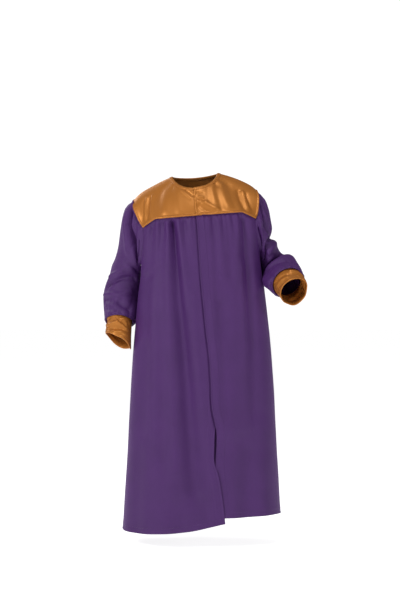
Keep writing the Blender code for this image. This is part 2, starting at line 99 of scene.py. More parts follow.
# Centre front edge of the +X front, which laps over the other one down to the last fastening
CENTRE_EDGE = table(
    "z x", (-880, 50), (-814, 43.5), (-767, 38), (-720, 34), (-676, 36), (-637, 35), (-592, 26),
    (-511, 21.7), (-462, 19), (-400, 12), (-338, 6.4), (-278, 1.4), (-218, -2), (-161, -5),
    (-106, -5), (-66, -2), (-30, -2),
)
# How far the -X front's edge reaches past that line, and how far each front edge stands out
LAPS = table(
    "z under right_out left_out",
    (-880, 8, 3.4, -1.4),
    (-800, 7, 3.2, -1.2),
    (-750, 4, 3, -1),
    (-715, -4, 2.4, -0.2),
    (-680, -6, 1, 1),
    (-645, -4, 0, 2.2),
    (-610, 7, 0, 2.4),
    (-560, 12, 0, 2.2),
    (-30, 12, 0, 2.2),
)
LAP_REACH = 15
LAP_FADE = 22

# Neckline
NECK_HALF_WIDTH = 57
NECK_FRONT = 60
NECK_BACK = 45
NECK_FRONT_DROP = 36
NECK_BACK_DROP = 4
NECK_CURVE = 1.3

# Swell of the yoke above a straight line from neckline to edge
SWELL_SIDE = 8.5
SWELL_FRONT = 4
SWELL_BACK = 9

# Armhole from the shoulder tip to the yoke's corner, on the front of the +X side
ARMHOLE = table(
    "x y z", (154.5, 0, -54), (157, -17, -62), (156, -30, -76), (151.5, -41, -93), (146, -49, -110),
)
CORNER_ANGLE = 80
# Clear space at the yoke seam, and between the walls at the armhole
YOKE_SEAM_ROOM = 1.0
ARMHOLE_ROOM = table("angle room", (0, -1.6), (90, -1.2), (180, -0.8))

# Folds: ridges (depth over 0) and troughs along straight lines, in x and z before the lean
FOLD_COLUMNS = "x0 z0 x1 z1 depth0 depth1 width0 width1"
FOLDS_RIGHT = table(
    FOLD_COLUMNS,
    (-123, -112, -133, -230, 3, 1.5, 6, 12),
    (-112, -110, -122, -240, -4.5, -1.5, 6, 13),
    (-99, -106, -104, -215, 3, 1.5, 6, 13),
    (-87, -106, -90, -200, -4, -1, 5, 11),
    (-78, -106, -78, -215, 3.5, 1.5, 5, 12),
    (-69, -106, -62, -311, -9.5, -8.5, 7, 15),
    (-62, -311, -16, -800, -8.5, -5.5, 15, 32),
    (-52, -106, -42, -330, 3.5, 2.5, 6, 18),
    (-38, -106, -36, -190, -2.6, -0.8, 5, 11),
    (-26, -106, -22, -200, 2.4, 0.8, 6, 13),
    (-112, -330, -128, -870, 3, 6.5, 22, 30),
    (-150, -420, -163, -870, -2.5, -5, 16, 22),
    (-66, -600, -72, -880, 1.5, 4.5, 24, 28),
)
FOLDS_LEFT = table(
    FOLD_COLUMNS,
    (16, -106, 20, -190, 2.2, 0.8, 6, 13),
    (30, -106, 32, -200, -2.8, -0.9, 5, 12),
    (42, -106, 46, -230, 2.6, 1.2, 6, 14),
    (56, -106, 58, -200, -3.2, -1, 5, 11),
    (70, -106, 73, -230, 2.8, 1.4, 6, 14),
    (83, -106, 86, -215, -3.6, -1, 5, 11),
    (95, -106, 99, -240, 3.2, 1.6, 5, 13),
    (108, -108, 121, -326, -5.5, -5, 7, 15),
    (121, -326, 133, -600, -5, -2, 15, 26),
    (122, -113, 137, -300, 3, 2, 6, 15),
    (50, -420, 66, -640, 3.5, 3, 18, 26),
    (92, -520, 104, -870, -2, -5, 24, 28),
    (140, -640, 154, -870, 2, 6, 22, 26),
    (66, -640, 72, -860, 3, 3.5, 26, 30),
)
FOLDS_BACK = table(
    FOLD_COLUMNS,
    (-122, -112, -130, -260, -4.2, -1.5, 6, 13),
    (-106, -108, -112, -300, 4, 3, 7, 17),
    (-90, -108, -92, -470, -6.5, -6, 7, 20),
    (-92, -470, -104, -870, -6, -8, 20, 28),
    (-74, -108, -72, -260, 4, 2, 6, 14),
    (-58, -108, -56, -230, -3.8, -1.2, 6, 12),
    (-42, -108, -38, -400, 4.5, 5, 7, 20),
    (-38, -400, -50, -870, 5, 8, 20, 30),
    (-24, -108, -22, -250, -4.2, -1.4, 6, 13),
    (-8, -108, -8, -220, 3.4, 1.2, 6, 12),
    (10, -108, 12, -520, -6, -5.5, 7, 22),
    (12, -520, 4, -870, -5.5, -8, 22, 28),
    (27, -108, 30, -260, 4, 2, 6, 14),
    (43, -108, 46, -230, -3.6, -1.2, 6, 12),
    (58, -108, 64, -430, 4.4, 4.8, 7, 20),
    (64, -430, 58, -870, 4.8, 8, 20, 30),
    (75, -108, 80, -260, -4.4, -1.6, 6, 14),
    (90, -108, 96, -250, 3.6, 1.6, 6, 13),
    (104, -108, 112, -480, -5.5, -5, 7, 18),
    (112, -480, 118, -870, -5, -7, 18, 26),
    (120, -112, 134, -300, 3.6, 2, 6, 14),
    (-150, -420, -160, -870, 2, 6.5, 18, 24),
    (158, -520, 166, -870, 2, 6, 18, 24),
)
PIN_HEIGHT = 16

# Sleeve rings: outer point, inner point, half depth, and how far the depth axis turns down
RING_COLUMNS = "ox oy oz ix iy iz depth pitch inward"
RINGS_RIGHT = table(
    RING_COLUMNS,
    (-204, 30, -214, -142.5, 40, -248, 55, 6, 0.2),
    (-217, 42, -248, -141.5, 53, -273, 53, 13, 0.2),
    (-228, 46, -275, -142, 58, -297, 53, 20, 0.2),
    (-233, 40, -301, -145, 53, -320, 50, 26, 0.15),
    (-232, 24, -329, -148.5, 34, -343, 48, 28, 0.1),
    (-229.5, 5, -356, -151.5, 9, -367, 45, 27, 0),
)
RINGS_LEFT = table(
    RING_COLUMNS,
    (208, 14, -180, 173, 24, -217, 53, 4, 0.2),
    (214, 16, -192, 176, 34, -240, 49, 16, 0.25),
    (221, 9, -199, 183, 33, -260, 47, 30, 0.25),
    (232, -8, -203, 187, 18, -273, 47, 43, 0.15),
    (244, -28, -209, 188, -3, -280, 48, 54, 0.08),
    (256, -52, -224, 190, -34, -290, 47, 61, 0),
    (263, -75, -239, 195, -68, -299, 44, 66, 0),
)
# Sleeve cap: it leaves the armhole level and outwards, and reaches the first ring down the arm
CAP_ROWS = (0.08, 0.22, 0.38, 0.56, 0.78)
CAP_LEAVE = table("side rise pull", (-1, 0.3, 0.8), (1, -0.12, 0.8))
CAP_REACH = 0.75
# How much less the cloth leaves outwards at the underarm than at the tip
UNDERARM_EASE = 0.2
# Sleeve folds: from one angle and ring to another; the armhole is ring 0 and the table above
# starts at ring 6
SLEEVE_FOLD_COLUMNS = "angle0 ring0 angle1 ring1 depth0 depth1 width0 width1"
CAP_GATHERS = (
    (-62, 0.7, -66, 2.4, -2.2, -0.8, 5, 9),
    (-35, 0.7, -38, 2.8, -2.8, -0.8, 5, 10),
    (-8, 0.7, -10, 2.6, -2.6, -0.8, 5, 10),
    (19, 0.7, 20, 2.8, -2.8, -0.8, 5, 10),
    (46, 0.7, 50, 2.4, -2.4, -0.8, 5, 9),
)
SLEEVE_FOLDS_RIGHT = table(
    SLEEVE_FOLD_COLUMNS,
    *CAP_GATHERS,
    (-26, 1.2, -46, 2.8, -4, -6, 7, 8),
    (-46, 2.8, -80, 3.7, -6, -6.5, 8, 8),
    (-80, 3.7, -118, 3.9, -6.5, -4, 8, 8),
    (-14, 9.6, -76, 10, -4.5, -4.5, 8, 8),
    (-76, 10, -115, 10.5, -4.5, -3, 8, 8),
    (-24, 7.5, -68, 6.6, 3.5, 2.5, 9, 9),
    (60, 5, 100, 6.8, -4, -4, 10, 10),
    (40, 9.2, 120, 8.6, -4, -3, 9, 9),
)
SLEEVE_FOLDS_LEFT = table(
    SLEEVE_FOLD_COLUMNS,
    *CAP_GATHERS,
    (14, 5.1, -70, 4.8, -8, -7, 8, 8),
    (-70, 4.8, -122, 5, -7, -4, 8, 8),
    (12, 7.8, -66, 7.6, -4.5, -3.5, 9, 9),
    (-60, 3.4, -98, 2.6, -3.5, -3, 7, 8),
    (-44, 1.4, -58, 3, -3, -2, 7, 8),
    (60, 4.6, 110, 5.6, -4, -4, 10, 10),
    (80, 8.8, 130, 8.2, -4, -3, 10, 10),
)
ANGLE_MM = 0.9
RING_MM = 22
# Turned sleeve end: past the last ring, and in from it
LIP = table("along inset", (6, 0.5), (9.5, 2), (10, 4.2), (7.5, 5.6), (-1, 6))
CUFF_INSET_RIGHT = 8.8
CUFF_INSET_LEFT = 7.9
# Rims of the cuffs, in the columns of the sleeve rings
RIM_RIGHT = table(RING_COLUMNS, (-224, -25, -398, -162, -23, -437, 35, 22, 0))
RIM_LEFT = table(RING_COLUMNS, (270, -125, -270, 216, -125, -318, 36, 66, 0))


def spline(x, xs, ys):
    """Read a smooth curve through the points (xs, ys), with xs rising, at x."""
    xs = np.asarray(xs, float)
    ys = np.asarray(ys, float)
    slopes = np.gradient(ys, xs, axis=0)
    x = np.clip(x, xs[0], xs[-1])
    i = np.clip(np.searchsorted(xs, x, side="right") - 1, 0, len(xs) - 2)
    step = xs[i + 1] - xs[i]
    t = (x - xs[i]) / step
    if ys.ndim > 1:
        step, t = (a.reshape(a.shape + (1,) * (ys.ndim - 1)) for a in (step, t))
    start = (1 + 2 * t) * (1 - t) ** 2 * ys[i] + t * (1 - t) ** 2 * step * slopes[i]
    end = t * t * (3 - 2 * t) * ys[i + 1] + t * t * (t - 1) * step * slopes[i + 1]
    return start + end


def read(rows, column, at, key="z"):
    """Read one column of a table smoothly at the given values of its key column."""
    return spline(at, rows[key], rows[column])


def posed(points):
    """Shift and lean points as the robe hangs."""
    x, y, z = np.moveaxis(points, -1, 0)
    x = x + read(SWAY, "x", z)
    return np.stack((x, y, z + LEAN * x), -1)


def unit(vectors):
    """Directions of length one."""
    return vectors / np.maximum(np.linalg.norm(vectors, axis=-1, keepdims=True), TINY)


def ease(t):
    """Rise smoothly from 0 to 1 over the same range."""
    t = np.clip(t, 0, 1)
    return t * t * (3 - 2 * t)


def body_point(turn, z, out=0.0):
    """Point of the body's cloth; turn is 0 at the +X side and a right angle at the front."""
    c, s = np.cos(turn), np.sin(turn)
    half = read(SECTIONS, "half_width", z)
    deep = np.where(s >= 0, read(SECTIONS, "front", z), read(SECTIONS, "back", z))
    r = ((np.abs(c) / half) ** ROUND + (np.abs(s) / deep) ** ROUND) ** (-1 / ROUND)
    x, y = r * c, -r * s
    nx = np.sign(x) * (np.abs(x) / half) ** (ROUND - 1) / half
    ny = np.sign(y) * (np.abs(y) / deep) ** (ROUND - 1) / deep
    size = np.hypot(nx, ny)
    return np.stack((x + out * nx / size, y + out * ny / size, z + 0 * x), -1)


def turn_at(x, z):
    """Angle at which the front's cloth has the given x."""
    half = read(SECTIONS, "half_width", z)
    y = read(SECTIONS, "front", z) * (1 - (np.abs(x) / half) ** ROUND) ** (1 / ROUND)
    return np.arctan2(y, x)


CORNER_TURN = float(turn_at(CORNER_X, CORNER_Z))


def seam_z(share):
    """Height of the yoke seam at a share of the way from the centre to the corner."""
    return SEAM_Z + (CORNER_Z - SEAM_Z) * np.clip((share - SEAM_BREAK) / (1 - SEAM_BREAK), 0, 1)


def folds(rows, x, z):
    """Sum the folds of a table at each x and z; a row may go on from the end of the one before."""
    total = np.zeros(np.broadcast(x, z).shape)
    end, last = None, total
    for x0, z0, x1, z1, depth0, depth1, width0, width1 in zip(*rows.values()):
        dx, dz = x1 - x0, z1 - z0
        t = np.clip(((x - x0) * dx + (z - z0) * dz) / (dx * dx + dz * dz), 0, 1)
        off = np.hypot(x - x0 - dx * t, z - z0 - dz * t)
        fold = (depth0 + (depth1 - depth0) * t) * np.exp(-((off / (width0 + (width1 - width0) * t)) ** 2))
        if end == (x0, z0):
            fold = np.where(np.abs(fold) > np.abs(last), fold, last)
            total = total - last
        total = total + fold
        end, last = (x1, z1), fold
    return total


def centre_turn(side, z):
    """Angle of a front's centre edge: the -X front reaches under the +X one."""
    reach = read(LAPS, "under", z) if side < 0 else 0
    return turn_at(read(CENTRE_EDGE, "x", z) + reach, z)


def lap_out(side, x, z):
    """How far a front stands out near its centre edge."""
    away = side * (x - read(CENTRE_EDGE, "x", z))
    near = 1 - ease((away - LAP_REACH) / LAP_FADE)
    return near * read(LAPS, "right_out" if side < 0 else "left_out", z)


def panel_heights(top, hem, armhole_share, below_share):
    """Heights from the yoke seam to the underarm level, then on to the hem."""
    return top + (UNDERARM_Z - top) * armhole_share + (hem - UNDERARM_Z) * below_share


def armhole_point(side, angle):
    """Point of the armhole before the lean; the angle is 0 at the shoulder tip and over 0 behind."""
    upper = np.stack([ARMHOLE[name] for name in "xyz"], -1)
    front_corner, back_corner = body_point(np.array((CORNER_TURN, -CORNER_TURN)), CORNER_Z)
    path = np.vstack((front_corner, upper[::-1], upper[1:] * (1, -1, 1), back_corner))
    cap = spline(angle, np.linspace(-CORNER_ANGLE, CORNER_ANGLE, len(path)), path)
    tau = np.radians((np.abs(angle) - CORNER_ANGLE) / (180 - CORNER_ANGLE) * 90)
    z = CORNER_Z + (UNDERARM_Z - CORNER_Z) * np.sin(tau)
    under = body_point(-np.sign(angle) * CORNER_TURN * np.cos(tau), z)
    return np.where(tau[:, None] <= 0, cap, under) * (side, 1, 1)


def neck_point(turn):
    """Point of the neckline straight in from the yoke's edge."""
    c, s = np.cos(turn), np.sin(turn)
    deep = np.where(s >= 0, NECK_FRONT, NECK_BACK)
    r = ((c / NECK_HALF_WIDTH) ** 2 + (s / deep) ** 2) ** -0.5
    drop = np.where(s >= 0, NECK_FRONT_DROP, NECK_BACK_DROP)
    return np.stack((r * c, -r * s, -drop * np.abs(s) ** NECK_CURVE), -1)


def yoke_points(edge, t, lift=0.0):
    """Yoke: t runs from the neckline to the edge points, over a soft swell."""
    turn = np.arctan2(-edge[..., 1], edge[..., 0])
    neck = neck_point(turn)
    span = edge - neck
    flat = np.hypot(span[..., 0], span[..., 1])
    size = np.hypot(flat, span[..., 2])
    up = flat / size
    outward = -span[..., 2] / size / flat
    across = np.stack((span[..., 0] * outward, span[..., 1] * outward, up), -1)
    side = np.cos(turn) ** 2
    plain = np.where(edge[..., 1] < 0, SWELL_FRONT, SWELL_BACK) * (1 - side) * 4 * t * (1 - t)
    shoulder = SWELL_SIDE * side * (1 - (1 - t) ** 3) * (1 - t ** 10)
    return neck + span * t[..., None] + across * (plain + shoulder + lift)[..., None]


def yoke_edge(side, face, seam_steps, cap_steps):
    """Edge of half a yoke from the centre line, along the seam and up the armhole."""
    share = np.linspace(0, 1, seam_steps + 1)
    z = seam_z(share) + YOKE_SEAM_ROOM / 2
    if face > 0:
        start, corner = centre_turn(side, z), CORNER_TURN if side > 0 else math.pi - CORNER_TURN
    else:
        start, corner = -math.pi / 2, -CORNER_TURN if side > 0 else CORNER_TURN - math.pi
    seam = body_point(start * (1 - share) + corner * share, z)
    angles = -face * np.linspace(CORNER_ANGLE, 0, cap_steps + 1)[1:]
    return np.vstack((seam, armhole_point(side, angles)))


def ring(rows, index):
    """Centre, half width, half depth and axis down the arm of one sleeve ring."""
    outer = np.array([rows[name][index] for name in ("ox", "oy", "oz")])
    inner = np.array([rows[name][index] for name in ("ix", "iy", "iz")])
    centre, half = (outer + inner) / 2, (outer - inner) / 2
    side = math.copysign(1, centre[0])
    pitch = math.radians(rows["pitch"][index])
    behind = np.array((-side * rows["inward"][index], math.cos(pitch), -math.sin(pitch)))
    behind -= half * behind.dot(half) / half.dot(half)
    behind *= rows["depth"][index] / np.linalg.norm(behind)
    axis = -side * np.cross(half, behind)
    return centre, half, behind, unit(axis)


def ring_points(frame, angles, along=0.0, inset=0.0):
    """Ellipse of a ring, moved along its axis and drawn in all round; angle 0 is the outer point."""
    centre, half, behind, axis = frame
    a = half * (1 - inset / np.linalg.norm(half))
    b = behind * (1 - inset / np.linalg.norm(behind))
    turned = np.radians(angles)
    return centre + axis * along + np.outer(np.cos(turned), a) + np.outer(np.sin(turned), b)


def cap_points(side, rows, angles, t):
    """Sleeve between the armhole (t = 0) and its first ring (t = 1)."""
    start = armhole_point(side, angles)
    start[:, 0] += side * read(ARMHOLE_ROOM, "room", np.abs(angles), "angle")
    start = posed(start)
    frame = ring(rows, 0)
    end = ring_points(frame, angles)
    reach = np.linalg.norm(end - start, axis=1)[:, None]
    rise, pull = (read(CAP_LEAVE, name, side, "side") for name in ("rise", "pull"))
    upward = rise * np.maximum(np.cos(np.radians(angles)), 0)
    outward = side * (1 - UNDERARM_EASE * (1 - np.cos(np.radians(angles))) / 2)
    leave = np.stack((outward, 0 * upward, upward), -1) * pull * reach
    arrive = frame[3] * CAP_REACH * reach
    bend = t * (1 - t)
    return (
        start * (1 + 2 * t) * (1 - t) ** 2 + leave * bend * (1 - t)
        + end * t * t * (3 - 2 * t) - arrive * bend * t
    )


def sleeve_rings(side, rows, angles):
    """Armhole and cap, rings down the arm, and the end turned up towards the cuff."""
    rings = [cap_points(side, rows, angles, t) for t in (0, *CAP_ROWS)]
    frames = [ring(rows, index) for index in range(len(rows["ox"]))]
    rings += [ring_points(frame, angles) for frame in frames]
    rings += [ring_points(frames[-1], angles, along, inset) for along, inset in zip(*LIP.values())]
    return np.array(rings)


def round_normals(grid, side):
    """Outward directions on a tube of rings."""
    round_way = np.roll(grid, -1, axis=1) - np.roll(grid, 1, axis=1)
    return unit(side * np.cross(np.gradient(grid, axis=0), round_way))


# Thickness of the cloth as it shows
PURPLE_CLOTH = 0.8
GOLD_CLOTH = 0.9
BAND_CLOTH = 0.7

# Steps of the meshes
FRONT_STEPS = 120
BACK_STEPS = 190
ARMHOLE_STEPS = 56
BELOW_STEPS = 150
YOKE_STEPS = 54
YOKE_SEAM_STEPS = 90
YOKE_CAP_STEPS = 44
SLEEVE_STEPS = 150
SLEEVE_ANGLES = 144
CUFF_ROWS = 40
BINDING_STEPS = (60, 30)
# How much closer the steps lie at the centre edge, at the yoke's edge and at the sleeve's ends
CROWDING = 0.25
YOKE_CROWDING = 1.35
SLEEVE_CROWDING = 0.2

# Gathers under the yoke seam, and how soon cloth leaves the seam
GATHER_PITCH = 6.4
GATHER_PIN = 4.0
GATHER_LENGTH = 34
GATHER_LENGTH_RANGE = 22
GATHER_DEPTH = 1.5
GATHER_DEPTH_RANGE = 1.0
GATHER_FAN = 1.04
GATHER_FADE = 0.15
GATHER_WIDTHS = (2.0, 5.0)
# Where each panel's gathers start and end, in x, and their phase
FRONT_GATHERS = {-1: (-120, -8, 0.4), 1: (12, 122, 1.9)}
BACK_GATHERS = (-126, 126, 3.1)
# Gathers round a sleeve: how much their lengths and depths vary, fade and widen
ROUND_LENGTH_RANGE = 0.35
ROUND_DEPTH_RANGE = 0.45
ROUND_FADE = 0.2
ROUND_WIDEN = 2.2
FINE_CAP = {"start": -84, "end": 88, "step": 8.2, "rings": (0.1, 1.7), "depth": -2.6, "width": 2.6}
FINE_END = {"start": -168, "end": 172, "step": 14, "depth": -2.8, "width": 4.0}
CAP_PHASE = 0.7
END_PHASE = 1.4
CAP_PIN = 8
# Gathers at a sleeve's end: rings from below its last one up to above it
END_BELOW = 2.5
END_ABOVE = 1.3
# Uneven gathers: share of a step that they shift by, and beats of place, length and depth in radians
UNEVEN = 0.3
YOKE_BEATS = (2.4, 1.7, 3.1)
SLEEVE_BEATS = (2.3, 1.9, 3.3)
# Low ripples and their size: body, sleeves and yoke
RIPPLE = 0.7
RIPPLE_SIZE = 120
SLEEVE_RIPPLE = 0.8
SLEEVE_RIPPLE_SIZE = 80
YOKE_RIPPLE = 0.5
YOKE_RIPPLE_SIZE = 70
RIPPLE_BEND = 1.3
BEND_BEAT = 0.43
RIPPLES = table(
    "across down phase share",
    (1, 0.25, 0.3, 1), (0.6, -0.5, 1.7, 0.8), (-0.35, 1.1, 4, 0.5), (1.5, 0.7, 2.2, 0.45),
)
# Turned edges: how high and wide the fold stands, and how far the turned part reaches
EDGE_ROLL = 0.9
EDGE_WIDTH = 2.2
LAP_ROLL = 1.5
ROLL_IN = 1
FACING_WIDTH = 27
FACING_STEP = 0.7
FACING_EASE = 2.5
HEM_WIDTH = 17
HEM_STEP = 0.5
HEM_EASE = 2
SEAM_DIP = 0.9
SEAM_WIDTH = 2.4
# The panels behind the yoke and towards the side seam, and the yoke with its rolled edge over them
TUCK = 3.0
SIDE_FADE = 12
YOKE_OVERLAP = 1.2
YOKE_LIFT = 1.1
YOKE_FADE = 6
TURN_UNDER = 1.6
SMOOTHING = 260
SEAM_ROLL = 3.0
SEAM_ROLL_IN = 1.6
SEAM_ROLL_WIDTH = 2.9
SEAM_SHADE = 3.0
SHADE_DROP = 1
SHADE_WIDTH = 3.6
# The groove that the lapping front presses into the other, down to where the lap ends
LAP_GROOVE = 2.4
GROOVE_IN = 1.5
GROOVE_WIDTH = 2.6
LAP_FOOT = -760
LAP_EASE = 60

# Creases that only show in the cloth
CREASES_RIGHT = table(
    FOLD_COLUMNS,
    (-66, -112, -60, -200, -6, -6.5, 4.5, 9),
    (-60, -200, -44, -420, -8, -10, 9, 15),
    (-44, -420, -16, -780, -10, -8.5, 15, 22),
    (-80, -118, -80, -240, 3.2, 4.6, 6, 11),
    (-80, -240, -74, -420, 4.6, 5.6, 11, 18),
    (-74, -420, -60, -780, 5.6, 5, 18, 28),
    (-97, -116, -102, -230, -6, -1.8, 4.5, 9),
    (-121, -122, -128, -210, -5.5, -1.6, 4.5, 8),
    (-108, -118, -114, -220, 2.4, 1.4, 5, 9),
    (-88, -112, -91, -160, -2.4, -0.6, 3.5, 6),
    (-50, -108, -44, -240, 2.4, 1.4, 6, 10),
    (-38, -108, -36, -180, -2.4, -0.6, 4, 8),
    (-18, -106, -17, -170, 1.8, 0.6, 6, 9),
    (-20, -300, -6, -560, 1.8, 1.4, 9, 16),
    (-100, -300, -94, -700, -2.6, -2.6, 14, 22),
    (-118, -260, -118, -640, 2.2, 2.2, 12, 18),
    (-44, -560, -30, -760, -1.5, -1.5, 12, 20),
    (-132, -250, -140, -640, -2.4, -2.4, 9, 16),
    (-112, -690, -90, -868, 2.4, 3.4, 16, 22),
    (-60, -760, -52, -880, -2.4, -3.6, 16, 20),
)
CREASES_LEFT = table(
    FOLD_COLUMNS,
    (26, -110, 30, -330, 1.8, 1.4, 5, 9),
    (38, -104, 40, -230, -2.8, -1.4, 4, 8),
    (52, -104, 54, -260, 2.4, 1.6, 6, 9),
    (68, -104, 74, -260, -3, -1.8, 4, 9),
    (84, -104, 90, -280, 2.6, 2, 6, 10),
    (98, -104, 104, -230, -3, -1.4, 4, 9),
    (112, -130, 126, -420, -4.6, -5.6, 7, 14),
    (126, -420, 132, -700, -5.6, -3, 14, 20),
    (102, -230, 108, -420, 3, 3.4, 9, 14),
    (108, -420, 110, -640, 3.4, 2.4, 14, 18),
    (28, -330, 38, -600, 2.6, 2.4, 10, 14),
    (52, -330, 60, -700, -2.6, -2.6, 12, 18),
    (122, -118, 128, -240, -2.6, -1.4, 5, 9),
    (78, -300, 86, -640, 2.2, 2, 14, 20),
    (120, -700, 128, -868, -2, -3.6, 14, 20),
    (84, -700, 90, -868, 2, 3.2, 16, 22),
)
CREASES_BACK = table(
    FOLD_COLUMNS,
    (-96, -110, -99, -210, -2, -0.8, 4, 8),
    (-48, -110, -46, -200, -2.2, -0.8, 4, 8),
    (2, -110, 0, -210, -2, -0.8, 4, 8),
    (50, -110, 52, -190, -2, -0.8, 4, 8),
    (98, -110, 102, -210, -2.2, -0.8, 4, 8),
    (-70, -520, -76, -860, 2, 3, 14, 18),
    (30, -600, 24, -860, 2, 3, 14, 18),
    (90, -620, 90, -860, -2, -3, 14, 18),
    (-134, -600, -138, -860, -2, -3.5, 14, 18),
)
YOKE_CREASES = table(
    FOLD_COLUMNS,
    (-26, -36, -4, -58, -2.4, -1.6, 2.6, 3.2),
    (-33, -40, -12, -62, 1.6, 1.2, 3, 4),
    (9, -61, 17, -64, 2.4, 1.8, 2.6, 2.8),
    (8, -67, 20, -70, -2.4, -1.6, 2.6, 2.6),
    (6, -75, 14, -80, 1.4, 1.2, 3, 3),
    (6, -50, 18, -53, -1.6, -1.2, 2.4, 2.6),
    (22, -78, 44, -99, 3.6, 4.4, 7, 9),
    (8, -84, 24, -103, -2.6, -3, 7, 8),
    (109, -54, 116, -104, -2.6, -2.6, 5, 6),
    (117, -58, 125, -106, 4.4, 5, 6, 7),
    (127, -60, 134, -110, -2.4, -2, 4, 5),
    (-106, -48, -120, -104, 2.4, 2.4, 5, 6),
    (-114, -50, -128, -108, -2.6, -2.4, 4, 5),
    (-122, -52, -135, -112, 2.4, 2.2, 4, 5),
    (-131, -56, -140, -116, -2.2, -2, 4, 5),
    (-88, -40, -96, -100, -1, -1, 7, 8),
    (-74, -36, -80, -100, 0.7, 0.9, 7, 8),
    (-56, -34, -60, -100, -0.8, -0.8, 7, 8),
    (-42, -40, -44, -100, 0.7, 0.8, 7, 8),
    (52, -28, 60, -98, -1.2, -1.5, 7, 8),
    (66, -30, 74, -98, 1.2, 1.4, 6, 8),
    (84, -34, 94, -98, -1.2, -1.4, 6, 8),
    (40, -26, 46, -96, 1.2, 1.2, 6, 8),
    (44, -18, 56, -34, -2.4, -1.2, 2.8, 4),
    (51, -15, 64, -32, 2, 1.2, 3, 4),
    (-50, -18, -58, -34, -1.6, -0.8, 3, 4),
)
YOKE_BACK_CREASES = table(
    FOLD_COLUMNS,
    (-40, -20, -52, -100, 1, 1.2, 9, 10),
    (-76, -30, -96, -104, -1.4, -1.4, 7, 8),
    (-112, -50, -128, -112, 1.6, 1.6, 5, 6),
    (-126, -52, -139, -114, -1.6, -1.6, 4, 5),
    (0, -14, -4, -100, -0.8, -1, 10, 11),
    (36, -18, 46, -100, 1, 1.2, 9, 10),
    (72, -30, 90, -104, -1.4, -1.4, 7, 8),
    (108, -50, 122, -112, 1.6, 1.6, 5, 6),
    (124, -54, 136, -114, -1.6, -1.6, 4, 5),
)
SLEEVE_CREASES_RIGHT = table(
    SLEEVE_FOLD_COLUMNS,
    (-48, 0.6, -80, 3.2, -6, -8, 11, 13),
    (16, 0.35, -16, 0.4, 5, 6.5, 8, 8),
    (-16, 0.4, -30, 0.5, 6.5, 3, 8, 6),
    (4, 0.9, 0, 2, -3.6, -1.6, 3.5, 6),
    (-14, 0.9, -18, 2.4, -3, -2, 3, 6),
    (-30, 0.7, -48, 2.9, -10, -15, 4.2, 5),
    (-48, 2.9, -78, 3.8, -15, -15, 5, 6),
    (-78, 3.8, -120, 4, -15, -10, 6, 7),
    (-18, 1.2, -34, 3.2, 3, 5, 6, 7),
    (-34, 3.2, -62, 4.6, 5, 4, 7, 8),
    (-64, 1.4, -88, 2.6, 3, 3, 6, 7),
    (-100, 2.2, -122, 3, -4, -3, 5, 5),
    (-70, 5.4, -130, 5.6, -4, -3.6, 8, 9),
    (-22, 7.3, -66, 6.5, 3.2, 3, 3.6, 4),
    (-30, 8.3, -74, 7.5, -8, -8, 6, 7),
    (-74, 7.5, -118, 7, -8, -6, 7, 8),
    (-10, 9.2, -74, 9.6, 4.6, 4.6, 5, 6),
    (-74, 9.6, -112, 8.9, 4.6, 3.4, 6, 7),
    (-76, 10.2, -124, 10.6, -4.5, -3.5, 6, 6),
    (0, 10.3, -70, 10.9, -2.6, -2.6, 5, 5),
    (30, 3.4, 64, 5.4, -3.4, -3.4, 6, 8),
    (84, 2.4, 120, 4.2, -3.6, -3.4, 6, 8),
    (20, 9.6, 70, 10.2, -3.6, -3, 6, 7),
    (100, 9.6, 150, 9.2, -3.4, -3, 6, 7),
    (14, 6.4, 48, 7.4, 2.6, 2.6, 8, 8),
    (70, 6.2, 110, 7.6, 3, 2.6, 8, 8),
    (40, 8.2, 96, 8.6, -3, -2.6, 8, 8),
    (-180, 3.2, -180, 10.6, 5, 6, 20, 26),
    (180, 3.2, 180, 10.6, 5, 6, 20, 26),
)
